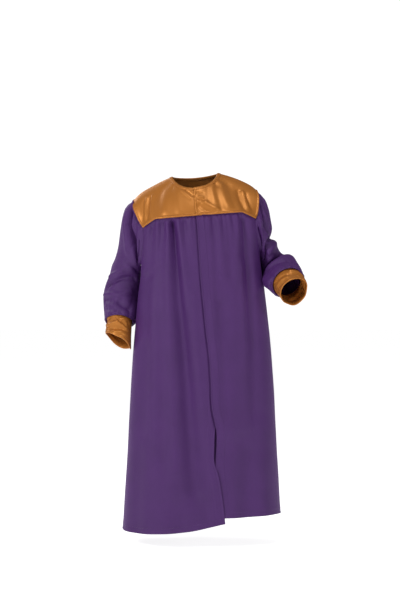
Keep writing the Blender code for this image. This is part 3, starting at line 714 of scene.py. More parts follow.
SLEEVE_CREASES_LEFT = table(
    SLEEVE_FOLD_COLUMNS,
    (30, 1.6, 20, 4.3, 4, 5.5, 16, 12),
    (-14, 1.8, -10, 4.5, 3, 4.5, 9, 7),
    (-50, 2, -24, 4.75, 4, 5.5, 4, 4.5),
    (-40, 0.9, -60, 2.9, -8.5, -11, 4.5, 5),
    (-60, 2.9, -46, 4.5, -11, -9, 5, 4.5),
    (-16, 0.8, -38, 2.6, -5, -6.5, 4, 4.5),
    (-38, 2.6, -30, 4.2, -6.5, -5, 4.5, 4),
    (-96, 1.4, -110, 3.2, -7, -8, 5, 6),
    (-72, 1.4, -92, 3, 5.5, 5.5, 5, 5.5),
    (-92, 3, -112, 4, 3.6, 2.6, 6, 6),
    (46, 5.1, -70, 4.75, -6.5, -6.5, 4, 5),
    (-70, 4.75, -128, 5, -6.5, -5, 5, 6),
    (44, 5.55, -24, 5.5, 5.5, 5.5, 7, 7),
    (-24, 5.5, -84, 5.4, 5.5, 4, 7, 7),
    (-60, 4.2, -112, 4.3, 3, 3, 4, 5),
    (20, 7.7, -60, 7.5, -4.5, -4.5, 5, 6),
    (-60, 7.5, -112, 7, -4.5, -3, 6, 8),
    (34, 9.3, -30, 9.5, 5, 4.5, 12, 12),
    (-70, 6.4, -100, 6.2, 3, 2.6, 6, 7),
    (-66, 8.6, -130, 8.6, 3.2, 3, 8, 9),
    (-20, 11.2, -112, 10.7, -5.5, -5.5, 9, 9),
    (-112, 10.7, -150, 9.6, -5.5, -3, 9, 8),
    (40, 2.6, 70, 4.4, -3.2, -3.2, 6, 8),
    (84, 2.2, 124, 4, -3.4, -3.2, 6, 8),
    (40, 6.4, 84, 7.4, -3.6, -3, 7, 8),
    (30, 10.4, 70, 10, -3, -3, 7, 7),
    (100, 6.4, 150, 6.9, -3.6, -3, 7, 7),
    (90, 8.6, 140, 9, 2.8, 2.6, 9, 9),
    (-180, 3.2, -158, 8.4, 5, 10, 20, 24),
    (-158, 8.4, -146, 11.6, 10, 9, 24, 20),
    (180, 3.2, 180, 9.4, 5, 8, 20, 24),
)
# Creases of the cuffs: from one angle and share of the cuff's length to another
CUFF_FOLD_COLUMNS = "angle0 down0 angle1 down1 depth0 depth1 width0 width1"
CUFF_MM = 70
CUFF_ANGLE_MM = ANGLE_MM * 0.72
CUFF_STITCH_ROW = CUFF_ROWS - 4
# Uneven waves of a cuff and of its rim: height, size and shifts along and across the ripples
CUFF_WAVE = 3.2
CUFF_WAVE_SIZE = 70
CUFF_WAVE_SHIFT = 40
RIM_WAVE_SIZE = 80
RIM_WAVE_SHIFT = (50, 30)
# Rim of a cuff: how its creases fade and its edge rolls, turns and goes back up inside
RIM_FADE = 9
RIM_KEEP = 0.3
RIM_ROLL = 0.5
RIM_ROLL_IN = 2
RIM_ROLL_WIDTH = 3
RIM_TURN = table("further deeper", (0.8, 0.5), (0.9, 1.4))
CUFF_LAYERS = 2.0
CUFF_INSIDE_TOP = 6
CUFF_CREASES_RIGHT = table(
    CUFF_FOLD_COLUMNS,
    (-18, 0.50, -70, 0.28, -4.6, -4.6, 3.2, 3.6),
    (-70, 0.28, -112, 0.42, -4.6, -3.4, 3.6, 4),
    (-24, 0.62, -76, 0.44, 4.4, 4.2, 4.5, 5),
    (-76, 0.46, -124, 0.56, 3.2, 2.6, 5, 5),
    (-30, 0.82, -100, 0.60, -4.2, -3.8, 4, 4.5),
    (-60, 0.88, -124, 0.74, 2.4, 2.2, 4, 5),
    (-14, 0.22, -64, 0.12, 2.6, 2.2, 4, 4),
    (-104, 0.10, -84, 0.26, -2.4, -2, 3.5, 4),
    (-42, 0.10, -34, 0.30, -2, -1.8, 3, 3.5),
    (-130, 0.30, -170, 0.60, -2.4, -2, 4, 5),
    (12, 0.24, 70, 0.40, -2.6, -2.6, 4, 5),
    (8, 0.48, 64, 0.60, 2.4, 2.4, 5, 6),
    (84, 0.20, 140, 0.44, -2.6, -2.4, 5, 6),
    (96, 0.56, 160, 0.66, 2.2, 2, 6, 6),
    (20, 0.80, 90, 0.86, -2, -2, 4, 5),
)
CUFF_CREASES_LEFT = table(
    CUFF_FOLD_COLUMNS,
    (-44, 0.18, 10, 0.36, -4.4, -4.6, 3.5, 3.5),
    (10, 0.36, 60, 0.24, -4.6, -3.4, 3.5, 4),
    (-50, 0.38, 36, 0.54, 4.2, 4.4, 4.5, 5),
    (-60, 0.56, 40, 0.74, -4, -4.2, 4, 4.5),
    (-30, 0.80, 60, 0.84, 2.2, 2.2, 4.5, 5),
    (-120, 0.34, -66, 0.52, -3, -2.8, 4.5, 5),
    (-130, 0.58, -76, 0.74, 2.4, 2.4, 5, 5),
    (66, 0.30, 124, 0.50, -2.6, -2.4, 5, 6),
    (70, 0.58, 130, 0.70, 2.2, 2, 6, 6),
    (-150, 0.66, -100, 0.86, -2.2, -2, 4, 5),
    (-20, 0.12, 30, 0.16, 2, 2, 4, 4),
)


def ripples(x, z, size):
    """Low uneven ripples of about the given size, between -1 and 1."""
    k = 2 * math.pi / size
    total = 0
    for across, down, phase, share in zip(*RIPPLES.values()):
        bend = RIPPLE_BEND * np.sin((z * across - x * down) * k * BEND_BEAT + 2 * phase)
        total = total + share * np.sin((x * across + z * down) * k + phase + bend)
    return total / RIPPLES["share"].sum()


def uneven(count, beats, phase):
    """Shifts of the places, lengths and depths of a run of gathers, between -1 and 1."""
    n = np.arange(count)
    place, length, depth = beats
    return np.sin(place * n + phase), np.sin(length * n + phase), np.sin(depth * n + 2 * phase)


def gathers(start, end, phase):
    """Uneven small gathers that fan out below the yoke seam."""
    x = np.arange(start, end, GATHER_PITCH)
    place, longer, deeper = uneven(len(x), YOKE_BEATS, phase)
    x = x + UNEVEN * GATHER_PITCH * place
    foot = SEAM_Z - (GATHER_LENGTH + GATHER_LENGTH_RANGE * longer)
    depth = -(GATHER_DEPTH + GATHER_DEPTH_RANGE * deeper)
    columns = (x, SEAM_Z, GATHER_FAN * x, foot, depth, GATHER_FADE * depth, *GATHER_WIDTHS)
    return dict(zip(FOLD_COLUMNS.split(), np.broadcast_arrays(*columns)))


def round_gathers(start, end, step, rings, depth, width, phase):
    """Uneven small gathers round a sleeve, from one ring to another."""
    angle = np.arange(start, end, step)
    place, longer, deeper = uneven(len(angle), SLEEVE_BEATS, phase)
    angle = angle + UNEVEN * step * place
    last = rings[1] + ROUND_LENGTH_RANGE * (rings[1] - rings[0]) * longer
    deep = depth * (1 + ROUND_DEPTH_RANGE * deeper)
    columns = (angle, rings[0], angle, last, deep, ROUND_FADE * deep, width, ROUND_WIDEN * width)
    return dict(zip(SLEEVE_FOLD_COLUMNS.split(), np.broadcast_arrays(*columns)))


def cloth_out(rows, creases, fine, x, z, drop):
    """Relief of a body panel at a drop below the yoke seam."""
    big = folds(rows, x, z) + folds(creases, x, z) + RIPPLE * ripples(x, z, RIPPLE_SIZE)
    small = ease(drop / GATHER_PIN) * folds(fine, x, z)
    return ease(drop / PIN_HEIGHT) * big + small - SEAM_SHADE * bell(drop - SHADE_DROP, SHADE_WIDTH)


def bell(distance, width):
    """Height of a soft bump at a distance from its middle."""
    return np.exp(-((distance / width) ** 2))


def front_grid(side):
    """Front panel from under the yoke to the hem, and from the centre edge to the side seam."""
    share = np.linspace(0, 1, FRONT_STEPS + 1)[None, :]
    share = (1 - CROWDING) * share + CROWDING * share ** 2
    armhole, below = panel_rows()
    hem = read(HEM, "right" if side < 0 else "left", share, "share")
    top = seam_z(share)
    z = panel_heights(top, hem, armhole, below)
    edge = CORNER_TURN * np.sqrt(1 - armhole ** 2)
    if side < 0:
        edge = math.pi - edge
    centre = centre_turn(side, z)
    turn = centre * (1 - share) + edge * share
    x = body_point(turn, z)[..., 0]
    width = np.abs(edge - centre) * read(SECTIONS, "half_width", z)
    rows, creases = (FOLDS_RIGHT, CREASES_RIGHT) if side < 0 else (FOLDS_LEFT, CREASES_LEFT)
    fine = gathers(*FRONT_GATHERS[side])
    out = cloth_out(rows, creases, fine, x, z, top - z) * ease((1 - share) * SIDE_FADE)
    out = out + lap_out(side, x, z) + centre_relief(share * width) + hem_relief(z - hem)
    if side < 0:
        lapped = ease((z - LAP_FOOT) / LAP_EASE)
        out = out - LAP_GROOVE * lapped * bell(x - read(CENTRE_EDGE, "x", z) + GROOVE_IN, GROOVE_WIDTH)
    out = out - side_relief((1 - share) * width, armhole)
    return hung(turn, z, out, lap_out(side, x[:1], z[:1]))


def centre_relief(from_edge):
    """Relief of the folded centre edge and its facing."""
    facing = FACING_STEP * (1 - ease((from_edge - FACING_WIDTH) / FACING_EASE))
    return LAP_ROLL * bell(from_edge - ROLL_IN, EDGE_WIDTH) + facing


def hem_relief(above_hem):
    """Relief of the turned-up hem."""
    doubled = HEM_STEP * (1 - ease((above_hem - HEM_WIDTH) / HEM_EASE))
    return doubled + EDGE_ROLL * bell(above_hem, EDGE_WIDTH)


def side_relief(from_side, armhole):
    """How far the cloth sinks into the side seam, below the armhole."""
    return SEAM_DIP * bell(from_side, SEAM_WIDTH) * (armhole == 1)


def hung(turn, z, out, top_out=0.0):
    """Points of a body panel, with a row above them that is tucked behind the yoke."""
    tucked = body_point(turn[:1], z[:1] + TUCK, top_out - TUCK / 2)
    return posed(np.vstack((tucked, body_point(turn, z, out))))


def panel_rows():
    """Shares above and below the underarm level for each row of a body panel."""
    tau = np.linspace(0, math.pi / 2, ARMHOLE_STEPS + 1)
    below = np.linspace(0, 1, BELOW_STEPS + 1)[1:]
    armhole = np.concatenate((np.sin(tau), np.ones(len(below))))
    return armhole[:, None], np.concatenate((0 * tau, below))[:, None]


def back_grid():
    """Back panel from the +X side seam to the -X one."""
    share = np.linspace(0, 1, BACK_STEPS + 1)[None, :]
    armhole, below = panel_rows()
    hem = read(HEM, "left", 1, "share") * (1 - share) + read(HEM, "right", 1, "share") * share
    from_centre = np.abs(2 * share - 1)
    top = seam_z(from_centre)
    z = panel_heights(top, hem, armhole, below)
    edge = CORNER_TURN * np.sqrt(1 - armhole ** 2)
    width = math.pi - 2 * edge
    turn = -(edge + width * share)
    x = body_point(turn, z)[..., 0]
    out = cloth_out(FOLDS_BACK, CREASES_BACK, gathers(*BACK_GATHERS), x, z, top - z)
    out = out * ease((1 - from_centre) * SIDE_FADE) + hem_relief(z - hem)
    from_side = (1 - from_centre) / 2 * width * read(SECTIONS, "half_width", z)
    return hung(turn, z, out - side_relief(from_side, armhole))


def yoke_line(side, face):
    """Edge points of half a yoke, a little below the seam, and where the seam ends on them."""
    edge = yoke_edge(side, face, YOKE_SEAM_STEPS, YOKE_CAP_STEPS)
    fade = np.ones(len(edge))
    fade[YOKE_SEAM_STEPS:] = np.linspace(1, 0, YOKE_CAP_STEPS + 1)
    edge[:, 2] -= (YOKE_SEAM_ROOM / 2 + YOKE_OVERLAP) * fade
    return edge


def smoothed(grid, t):
    """Grid of points evened out along its rows, most of all midway between the neck and the edge."""
    grid = grid.copy()
    share = 2 * t[1:-1, 1:-1, None] * (1 - t[1:-1, 1:-1, None])
    for _ in range(SMOOTHING):
        middle = (grid[1:-1, :-2] + grid[1:-1, 2:]) / 2
        grid[1:-1, 1:-1] += share * (middle - grid[1:-1, 1:-1])
    return grid


def yoke_grid(edge, creases, lap_side=0):
    """Yoke over its edge points, with a rolled edge that is turned under."""
    share = np.linspace(0, 1, YOKE_STEPS + 1)
    t = np.repeat((1 - (1 - share) ** YOKE_CROWDING)[:, None], len(edge), axis=1)
    edges = np.repeat(edge[None], len(t), axis=0)
    flat = yoke_points(edges, t)
    x, z = flat[..., 0], flat[..., 2]
    span = np.linalg.norm(edges - flat, axis=-1)
    soft = ease(t * YOKE_FADE) * ease((1 - t) * YOKE_FADE)
    lift = soft * (folds(creases, x, z) + YOKE_RIPPLE * ripples(x, z, YOKE_RIPPLE_SIZE))
    lift = lift + YOKE_LIFT + SEAM_ROLL * bell(span - SEAM_ROLL_IN, SEAM_ROLL_WIDTH)
    if lap_side:
        lift = lift + lap_out(lap_side, x, z)
    if lap_side > 0:
        lift = lift + LAP_ROLL * bell(x - read(CENTRE_EDGE, "x", z) - ROLL_IN, EDGE_WIDTH)
    grid = smoothed(flat, t) + yoke_points(edges, t, lift) - flat
    level = yoke_points(edges[-1:], t[-1:], lift[-1:])
    under = grid[-1:] + yoke_points(edges[-1:], t[-1:], lift[-1:] - TURN_UNDER) - level
    return posed(np.vstack((grid, under)))


# Section of the neck binding, and the gap and slight waves along it
BINDING_GAP = 0.5
BINDING_WAVE = 0.12
BINDING_BEAT = 0.55
BINDING_FOLD = table(
    "inwards lift",
    (6, -1.2), (3, -1.3), (0.8, -1.2), (-0.5, -0.8), (-1.1, 0.1), (-0.9, 1.1), (-0.1, 1.9),
    (1.2, 2.3), (3.5, 2.4), (5.6, 2.3), (6.8, 1.9), (7.2, 1.2), (6.8, 0.8),
)


def binding_grid():
    """Strip folded over the neckline, from one centre edge to the other."""
    front_left, back_left, back_right, front_right = (
        yoke_edge(side, face, *BINDING_STEPS) for side, face in ((1, 1), (1, -1), (-1, -1), (-1, 1))
    )
    front_right = front_right[front_right[:, 0] < front_left[0, 0] - BINDING_GAP]
    edge = np.vstack((front_left, back_left[-2::-1], back_right[1:], front_right[-2::-1]))
    span = np.linalg.norm(edge - neck_point(np.arctan2(-edge[:, 1], edge[:, 0])), axis=1)
    inwards = BINDING_FOLD["inwards"][:, None]
    t = inwards / span
    edges = np.repeat(edge[None], len(t), axis=0)
    on = yoke_points(edges, t)
    lift = BINDING_FOLD["lift"][:, None] + 0 * t
    left = slice(0, len(front_left) - 1)
    lift[:, left] += lap_out(1, on[:, left, 0], on[:, left, 2])
    waves = BINDING_WAVE * np.sin(np.arange(len(edge))[None, :] * BINDING_BEAT)
    return posed(yoke_points(edges, t, lift + waves * (inwards > 1))[::-1])


def scaled(rows, across, down):
    """Give a table of angles and rings or shares in millimetres."""
    scale = (across, down, across, down, 1, 1, 1, 1)
    return dict(zip(rows, (column * k for column, k in zip(rows.values(), scale))))


def sleeve_grid(side, rows, fold_rows, creases):
    """Sleeve from under the armhole's edge to its turned end, with its folds and gathers."""
    angles = np.linspace(-180, 180, SLEEVE_ANGLES + 1)[:-1]
    rings = sleeve_rings(side, rows, angles)
    last = len(rings) - 1
    share = np.linspace(0, 1, SLEEVE_STEPS + 1)
    index = last * (share * (1 - SLEEVE_CROWDING) + SLEEVE_CROWDING * ease(share))
    grid = spline(index, np.arange(last + 1), rings)
    across = ANGLE_MM * angles[None, :]
    down = RING_MM * index[:, None]
    end = last - len(LIP["along"])
    cap = round_gathers(**FINE_CAP, phase=CAP_PHASE + side)
    cuff = round_gathers(**FINE_END, rings=(end + END_BELOW, end - END_ABOVE), phase=END_PHASE - side)
    depth = sum(folds(scaled(r, ANGLE_MM, RING_MM), across, down) for r in (fold_rows, creases, cap, cuff))
    outer = (1 + np.cos(np.radians(angles))[None, :]) / 2
    depth = depth + SLEEVE_RIPPLE * ripples(across, down, SLEEVE_RIPPLE_SIZE) * outer
    depth = depth * ease(down / CAP_PIN)
    depth = depth - SEAM_DIP * bell((180 - np.abs(angles))[None, :] * ANGLE_MM, SEAM_WIDTH)
    return grid + round_normals(grid, side) * depth[..., None]


def cuff_grid(side, rows, rim_rows, inset, creases):
    """Folded band from inside the sleeve end to its rim and back up inside."""
    angles = np.linspace(-180, 180, SLEEVE_ANGLES + 1)[:-1]
    t = np.linspace(0, 1, CUFF_ROWS + 1)[:, None]
    start = ring_points(ring(rows, -1), angles, LIP["along"][-1], inset)
    finish = ring_points(ring(rim_rows, 0), angles)
    grid = start[None] * (1 - t[..., None]) + finish[None] * t[..., None]
    across, down = CUFF_ANGLE_MM * angles[None, :], CUFF_MM * t
    rolled = RIM_ROLL * bell(CUFF_MM * (1 - t) - RIM_ROLL_IN, RIM_ROLL_WIDTH)
    depth = folds(scaled(creases, CUFF_ANGLE_MM, CUFF_MM), across, down)
    depth = depth * ease((1 - t) * RIM_FADE + RIM_KEEP) + rolled
    depth = depth + CUFF_WAVE * t ** 2 * ripples(across, down + CUFF_WAVE_SHIFT * side, CUFF_WAVE_SIZE)
    grid = grid + round_normals(grid, side) * depth[..., None]
    along, beside = RIM_WAVE_SHIFT
    uneven_rim = CUFF_WAVE * t ** 3 * ripples(across + along, 0 * t + beside * side, RIM_WAVE_SIZE)
    grid = grid + unit(grid[-1:] - grid[-4:-3]) * uneven_rim[..., None]
    onward = unit(grid[-1:] - grid[-2:-1])
    inward = -round_normals(grid, side)[-1:]
    turn = [grid[-1:] + onward * further + inward * deeper for further, deeper in zip(*RIM_TURN.values())]
    inside = grid[-2:CUFF_INSIDE_TOP:-2] + inward * CUFF_LAYERS
    return np.vstack((grid, *turn, inside))


def surface_normals(grid, closed):
    """Directions at right angles to a grid of points."""
    if closed:
        across = np.roll(grid, -1, axis=1) - np.roll(grid, 1, axis=1)
    else:
        across = np.gradient(grid, axis=1)
    return unit(np.cross(np.gradient(grid, axis=0), across))


def lengths_along(grid, axis):
    """Running length of a grid's lines along one axis."""
    step = np.linalg.norm(np.diff(grid, axis=axis), axis=-1)
    start = np.zeros_like(np.take(step, [0], axis=axis))
    return np.concatenate((start, np.cumsum(step, axis=axis)), axis=axis)


def quads(numbers):
    """Faces between the neighbours in a grid of point numbers."""
    corners = (numbers[:-1, :-1], numbers[1:, :-1], numbers[1:, 1:], numbers[:-1, 1:])
    return np.stack(corners, -1).reshape(-1, 4)


def border(numbers):
    """Point numbers round the border of a grid."""
    return np.concatenate((numbers[0], numbers[1:, -1], numbers[-1, -2::-1], numbers[-2::-1, 0]))


def shell(name, grid, thickness, cloth, closed=False):
    """Thin piece of cloth with rounded edges round a grid of points whose rows go down."""
    rows, columns = grid.shape[:2]
    normal = surface_normals(grid, closed)
    wide = np.concatenate((grid, grid[:, :1]), axis=1) if closed else grid
    u, v = lengths_along(wide, 1), lengths_along(wide, 0)
    u = u - u[:, -1:] / 2
    size = rows * columns
    number = np.arange(size).reshape(rows, columns)
    place = np.arange(rows * wide.shape[1]).reshape(rows, -1)
    if closed:
        number = np.hstack((number, number[:, :1]))
        loops = [(number[0], place[0]), (number[-1][::-1], place[-1][::-1])]
    else:
        loops = [(border(number), border(place))]
    outer, places = quads(number), quads(place)
    faces = [outer, (outer + size)[:, ::-1]]
    corners = [places, places[:, ::-1]]
    points = [(grid + normal * half).reshape(-1, 3) for half in (thickness / 2, -thickness / 2)]
    away = unit(grid - inner_neighbours(grid, closed)).reshape(-1, 3)
    rims = grid.reshape(-1, 3) + away * thickness / 2
    count = 2 * size
    for loop, loop_place in loops:
        rim_number = count + np.arange(len(loop))
        rim_number[-1] = count
        points.append(rims[loop[:-1]])
        count += len(loop) - 1
        a, b = loop[:-1], loop[1:]
        m, n = rim_number[:-1], rim_number[1:]
        faces += [np.stack((a, b, n, m), -1), np.stack((m, n, b + size, a + size), -1)]
        p, q = loop_place[:-1], loop_place[1:]
        corners += [np.stack((p, q, q, p), -1)] * 2
    lengths = np.stack((u, v), -1).reshape(-1, 2)[np.vstack(corners)]
    return mesh_piece(name, np.vstack(points), np.vstack(faces), cloth, lengths)


def inner_neighbours(grid, closed):
    """For each point of a grid's border, the grid point that lies straight inside it."""
    rows, columns = grid.shape[:2]
    r = np.clip(np.arange(rows), 1, rows - 2)[:, None]
    c = np.arange(columns) if closed else np.clip(np.arange(columns), 1, columns - 2)
    return grid[r, c[None, :]]


def add_object(name, data):
    """Add an object to the scene."""
    added = bpy.data.objects.new(name, data)
    bpy.context.scene.collection.objects.link(added)
    return added


def mesh_piece(name, points, faces, cloth, lengths=None):
    """Make a smooth mesh object of quads, with its lengths in metres as texture coordinates."""
    mesh = bpy.data.meshes.new(name)
    mesh.vertices.add(len(points))
    mesh.vertices.foreach_set("co", (points * MM).ravel())
    mesh.loops.add(faces.size)
    mesh.loops.foreach_set("vertex_index", faces.ravel().astype(np.int32))
    mesh.polygons.add(len(faces))
    mesh.polygons.foreach_set("loop_start", np.arange(0, faces.size, 4, dtype=np.int32))
    if lengths is not None:
        layer = mesh.uv_layers.new(name="lengths")
        layer.data.foreach_set("uv", (lengths.reshape(-1, 2) * MM).ravel())
    mesh.update(calc_edges=True)
    mesh.validate()
    mesh.shade_smooth()
    mesh.materials.append(cloth)
    return add_object(name, mesh)


STITCH = table("along out", (-1.1, 0.0), (-0.7, 0.22), (0.7, 0.22), (1.1, 0.0))
STITCH_PITCH = 2.8
STITCH_AHEAD = 0.5
STITCH_SINK = 0.02
THREAD_END = 0.04
# Stitch rows: down from the hem's fold, up from the yoke's edge, and in the binding
HEM_STITCH_IN = 2
YOKE_STITCH_UP = 4.0
BINDING_STITCH_ROW = 3


def along_line(values, run, at):
    """Read values given along a line at some of its running lengths."""
    return np.stack([np.interp(at, run, values[:, i]) for i in range(3)], -1)


def stitches(name, lines, cloth):
    """Small stitches along lines given as points and the cloth's directions there."""
    points, faces, count = [], [], 0
    corners = np.radians((45, 135, 225, 315))
    for line, normal in lines:
        run = np.concatenate(([0], np.cumsum(np.linalg.norm(np.diff(line, axis=0), axis=1))))
        at = np.arange(STITCH_PITCH, run[-1] - STITCH_PITCH, STITCH_PITCH)
        place = along_line(line, run, at)
        ahead = unit(along_line(line, run, at + STITCH_AHEAD) - place)
        up = unit(along_line(normal, run, at))
        beside = np.cross(ahead, up)
        for i in range(len(at)):
            around = np.outer(np.cos(corners), beside[i]) + np.outer(np.sin(corners), up[i])
            for along, out in zip(*STITCH.values()):
                middle = place[i] + ahead[i] * along + up[i] * (out - STITCH_SINK)
                points.append(middle + around * max(out, THREAD_END))
            for low in range(count, count + 12, 4):
                for j in range(4):
                    n = (j + 1) % 4
                    faces.append((low + j, low + n, low + 4 + n, low + 4 + j))
            faces.append((count + 3, count + 2, count + 1, count))
            faces.append((count + 12, count + 13, count + 14, count + 15))
            count += 16
    return mesh_piece(name, np.vstack(points), np.array(faces), cloth)


def seam_line(grid, row, rise, closed=False):
    """Line of points along one row of a grid, raised off the cloth, with its directions."""
    normal = surface_normals(grid, closed)[row]
    line = grid[row] + normal * rise
    if closed:
        return np.vstack((line, line[:1])), np.vstack((normal, normal[:1]))
    return line, normal


# Materials
def node(tree, kind, **values):
    """Add a node and set its plain attributes and sockets."""
    made = tree.nodes.new(kind)
    for key, value in values.items():
        if hasattr(made, key):
            setattr(made, key, value)
        else:
            made.inputs[key.replace("_", " ")].default_value = value
    return made


def ramp(tree, factor, stops):
    """Colour ramp over a factor."""
    made = tree.nodes.new("ShaderNodeValToRGB")
    elements = made.color_ramp.elements
    elements[0].position, elements[0].color = stops[0]
    elements[1].position, elements[1].color = stops[-1]
    for position, colour in stops[1:-1]:
        elements.new(position).color = colour
    tree.links.new(factor, made.inputs["Fac"])
    return made.outputs["Color"]


def tone(colour, factor):
    """Colour made lighter or darker."""
    return tuple(c * factor for c in colour) + (1.0,)


def new_material(name, colour, roughness, sheen):
    """Material with its node tree and shader."""
    made = bpy.data.materials.new(name)
    made.use_nodes = True
    shader = made.node_tree.nodes["Principled BSDF"]
    shader.inputs["Base Color"].default_value = tone(colour, 1.0)
    shader.inputs["Roughness"].default_value = roughness
    shader.inputs["Sheen Weight"].default_value = sheen
    return made, made.node_tree, shader


# How the two cloths shine
GLOSS = {"Specular IOR Level": 0.32}
SATIN_GLOSS = {
    "Specular IOR Level": 0.65, "Specular Tint": (1.0, 0.70, 0.34, 1.0), "Metallic": 0.25,
}


def cloth_material(name, colour, yarn_mm, stretch, spread, roughness, sheen, crumple, weave_bump, gloss):
    """Woven cloth: yarns across and along, uneven dye, soft crumples and a sheen."""
    made, tree, shader = new_material(name, colour, roughness, sheen)
    link = tree.links.new
    lengths = node(tree, "ShaderNodeUVMap", uv_map="lengths").outputs["UV"]
    place = tree.nodes.new("ShaderNodeTexCoord").outputs["Object"]
    weave = node(tree, "ShaderNodeMath", operation="MULTIPLY")
    yarn_scale = 2 * math.pi / (20 * yarn_mm * MM)
    for i, (way, scale) in enumerate((("X", yarn_scale), ("Y", yarn_scale * stretch))):
        yarns = node(tree, "ShaderNodeTexWave", bands_direction=way, Scale=scale, Distortion=0.6,
                     Detail=1.0, Detail_Scale=0.4)
        link(lengths, yarns.inputs["Vector"])
        link(yarns.outputs["Fac"], weave.inputs[i])
    streak_map = node(tree, "ShaderNodeMapping", Scale=(1.0, 0.12, 1.0))
    link(lengths, streak_map.inputs["Vector"])
    streak = node(tree, "ShaderNodeTexNoise", Scale=420.0, Detail=3.0, Roughness=0.6)
    link(streak_map.outputs["Vector"], streak.inputs["Vector"])
    dye = node(tree, "ShaderNodeTexNoise", Scale=16.0, Detail=3.0, Roughness=0.55)
    link(place, dye.inputs["Vector"])
    mixed = node(tree, "ShaderNodeMix", data_type="FLOAT", Factor=0.35)
    link(dye.outputs["Fac"], mixed.inputs[2])
    link(streak.outputs["Fac"], mixed.inputs[3])
    dark, light = tone(colour, 1 - spread), tone(colour, 1 + spread)
    colours = ramp(tree, mixed.outputs[0], ((0.34, dark), (0.5, tone(colour, 1.0)), (0.66, light)))
    between = node(tree, "ShaderNodeMix", data_type="RGBA", blend_type="MULTIPLY", Factor=0.16)
    link(colours, between.inputs[6])
    link(weave.outputs["Value"], between.inputs[7])
    link(between.outputs[2], shader.inputs["Base Color"])
    rough = node(tree, "ShaderNodeMapRange", To_Min=roughness - 0.01, To_Max=roughness + 0.015)
    link(mixed.outputs[0], rough.inputs["Value"])
    link(rough.outputs["Result"], shader.inputs["Roughness"])
    shader.inputs["Sheen Roughness"].default_value = 0.45
    shader.inputs["Sheen Tint"].default_value = tone(colour, 1.6 / max(colour))
    for socket, value in gloss.items():
        shader.inputs[socket].default_value = value
    bump, scale, detail = crumple
    soft = node(tree, "ShaderNodeTexNoise", Scale=scale, Detail=detail, Roughness=0.5)
    link(place, soft.inputs["Vector"])
    slow = node(tree, "ShaderNodeBump", Strength=bump, Distance=0.0012)
    link(soft.outputs["Fac"], slow.inputs["Height"])
    fine = node(tree, "ShaderNodeBump", Strength=weave_bump, Distance=0.00012)
    link(weave.outputs["Value"], fine.inputs["Height"])
    link(slow.outputs["Normal"], fine.inputs["Normal"])
    link(fine.outputs["Normal"], shader.inputs["Normal"])
    return made


def thread_material(name, colour):
    """Twisted sewing thread."""
    made, tree, shader = new_material(name, colour, 0.5, 0.2)
    twist = node(tree, "ShaderNodeTexNoise", Scale=1400.0, Detail=2.0)
    tree.links.new(tree.nodes.new("ShaderNodeTexCoord").outputs["Object"], twist.inputs["Vector"])
    colours = ramp(tree, twist.outputs["Fac"], ((0.35, tone(colour, 0.8)), (0.65, tone(colour, 1.25))))
    tree.links.new(colours, shader.inputs["Base Color"])
    return made


PURPLE_LOOK = (0.063, 0.0158, 0.116)
GOLD_LOOK = (0.440, 0.154, 0.027)
purple = cloth_material(
    "purple_polyester", PURPLE_LOOK, yarn_mm=0.5, stretch=1.0, spread=0.07, roughness=0.62, sheen=0.05,
    crumple=(0.25, 85.0, 4.0), weave_bump=0.35, gloss=GLOSS,
)
gold = cloth_material(
    "gold_satin", GOLD_LOOK, yarn_mm=0.4, stretch=0.35, spread=0.035, roughness=0.40, sheen=0.02,
    crumple=(0.08, 28.0, 1.0), weave_bump=0.0, gloss=SATIN_GLOSS,
)
purple_thread = thread_material("purple_thread", PURPLE_LOOK)
gold_thread = thread_material("gold_thread", GOLD_LOOK)


def dress(name, slot, grid, thickness, closed=False, seam_row=None):
    """Make a piece of cloth in place of its solid, with a row of stitches, and ride both on the robe."""
    cloth, thread = (purple, purple_thread) if slot == "purple_cloth" else (gold, gold_thread)
    piece = shell(name + "_cloth", grid, thickness, cloth, closed)
    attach(piece, "root")
    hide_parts(name)
    seams = []
    if seam_row is not None:
        line = seam_line(grid, seam_row, thickness / 2, closed)
        seams.append(stitches(name + "_stitches", [line], thread))
        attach(seams[0], "root")


def row_above(run, height):
    """Row of a grid that lies a height above its last one, by the rows' running lengths."""
    return int(np.argmin(np.abs(run[-1] - run - height)))


def build_body():
    """Fronts and back, with their hem stitches."""
    for name, grid in (
        ("front_right", front_grid(-1)[:, ::-1]),
        ("front_left", front_grid(1)),
        ("back", back_grid()[:, ::-1]),
    ):
        run = lengths_along(grid, 0).mean(axis=1)
        dress(name, "purple_cloth", grid, PURPLE_CLOTH, seam_row=row_above(run, HEM_WIDTH - HEM_STITCH_IN))


def build_yoke():
    """Yoke pieces, with an edge stitch above the seam, and the neck binding."""
    back_edge = np.vstack((yoke_line(1, -1)[::-1], yoke_line(-1, -1)[1:]))
    for name, grid in (
        ("yoke_front_right", yoke_grid(yoke_line(-1, 1), YOKE_CREASES, -1)[:, ::-1]),
        ("yoke_front_left", yoke_grid(yoke_line(1, 1), YOKE_CREASES, 1)),
        ("yoke_back", yoke_grid(back_edge, YOKE_BACK_CREASES)),
    ):
        run = lengths_along(grid, 0).mean(axis=1)[:-1]
        dress(name, "gold_satin", grid, GOLD_CLOTH, seam_row=row_above(run, YOKE_STITCH_UP))
    dress("neck_binding", "gold_satin", binding_grid()[:, ::-1], BAND_CLOTH, seam_row=BINDING_STITCH_ROW)


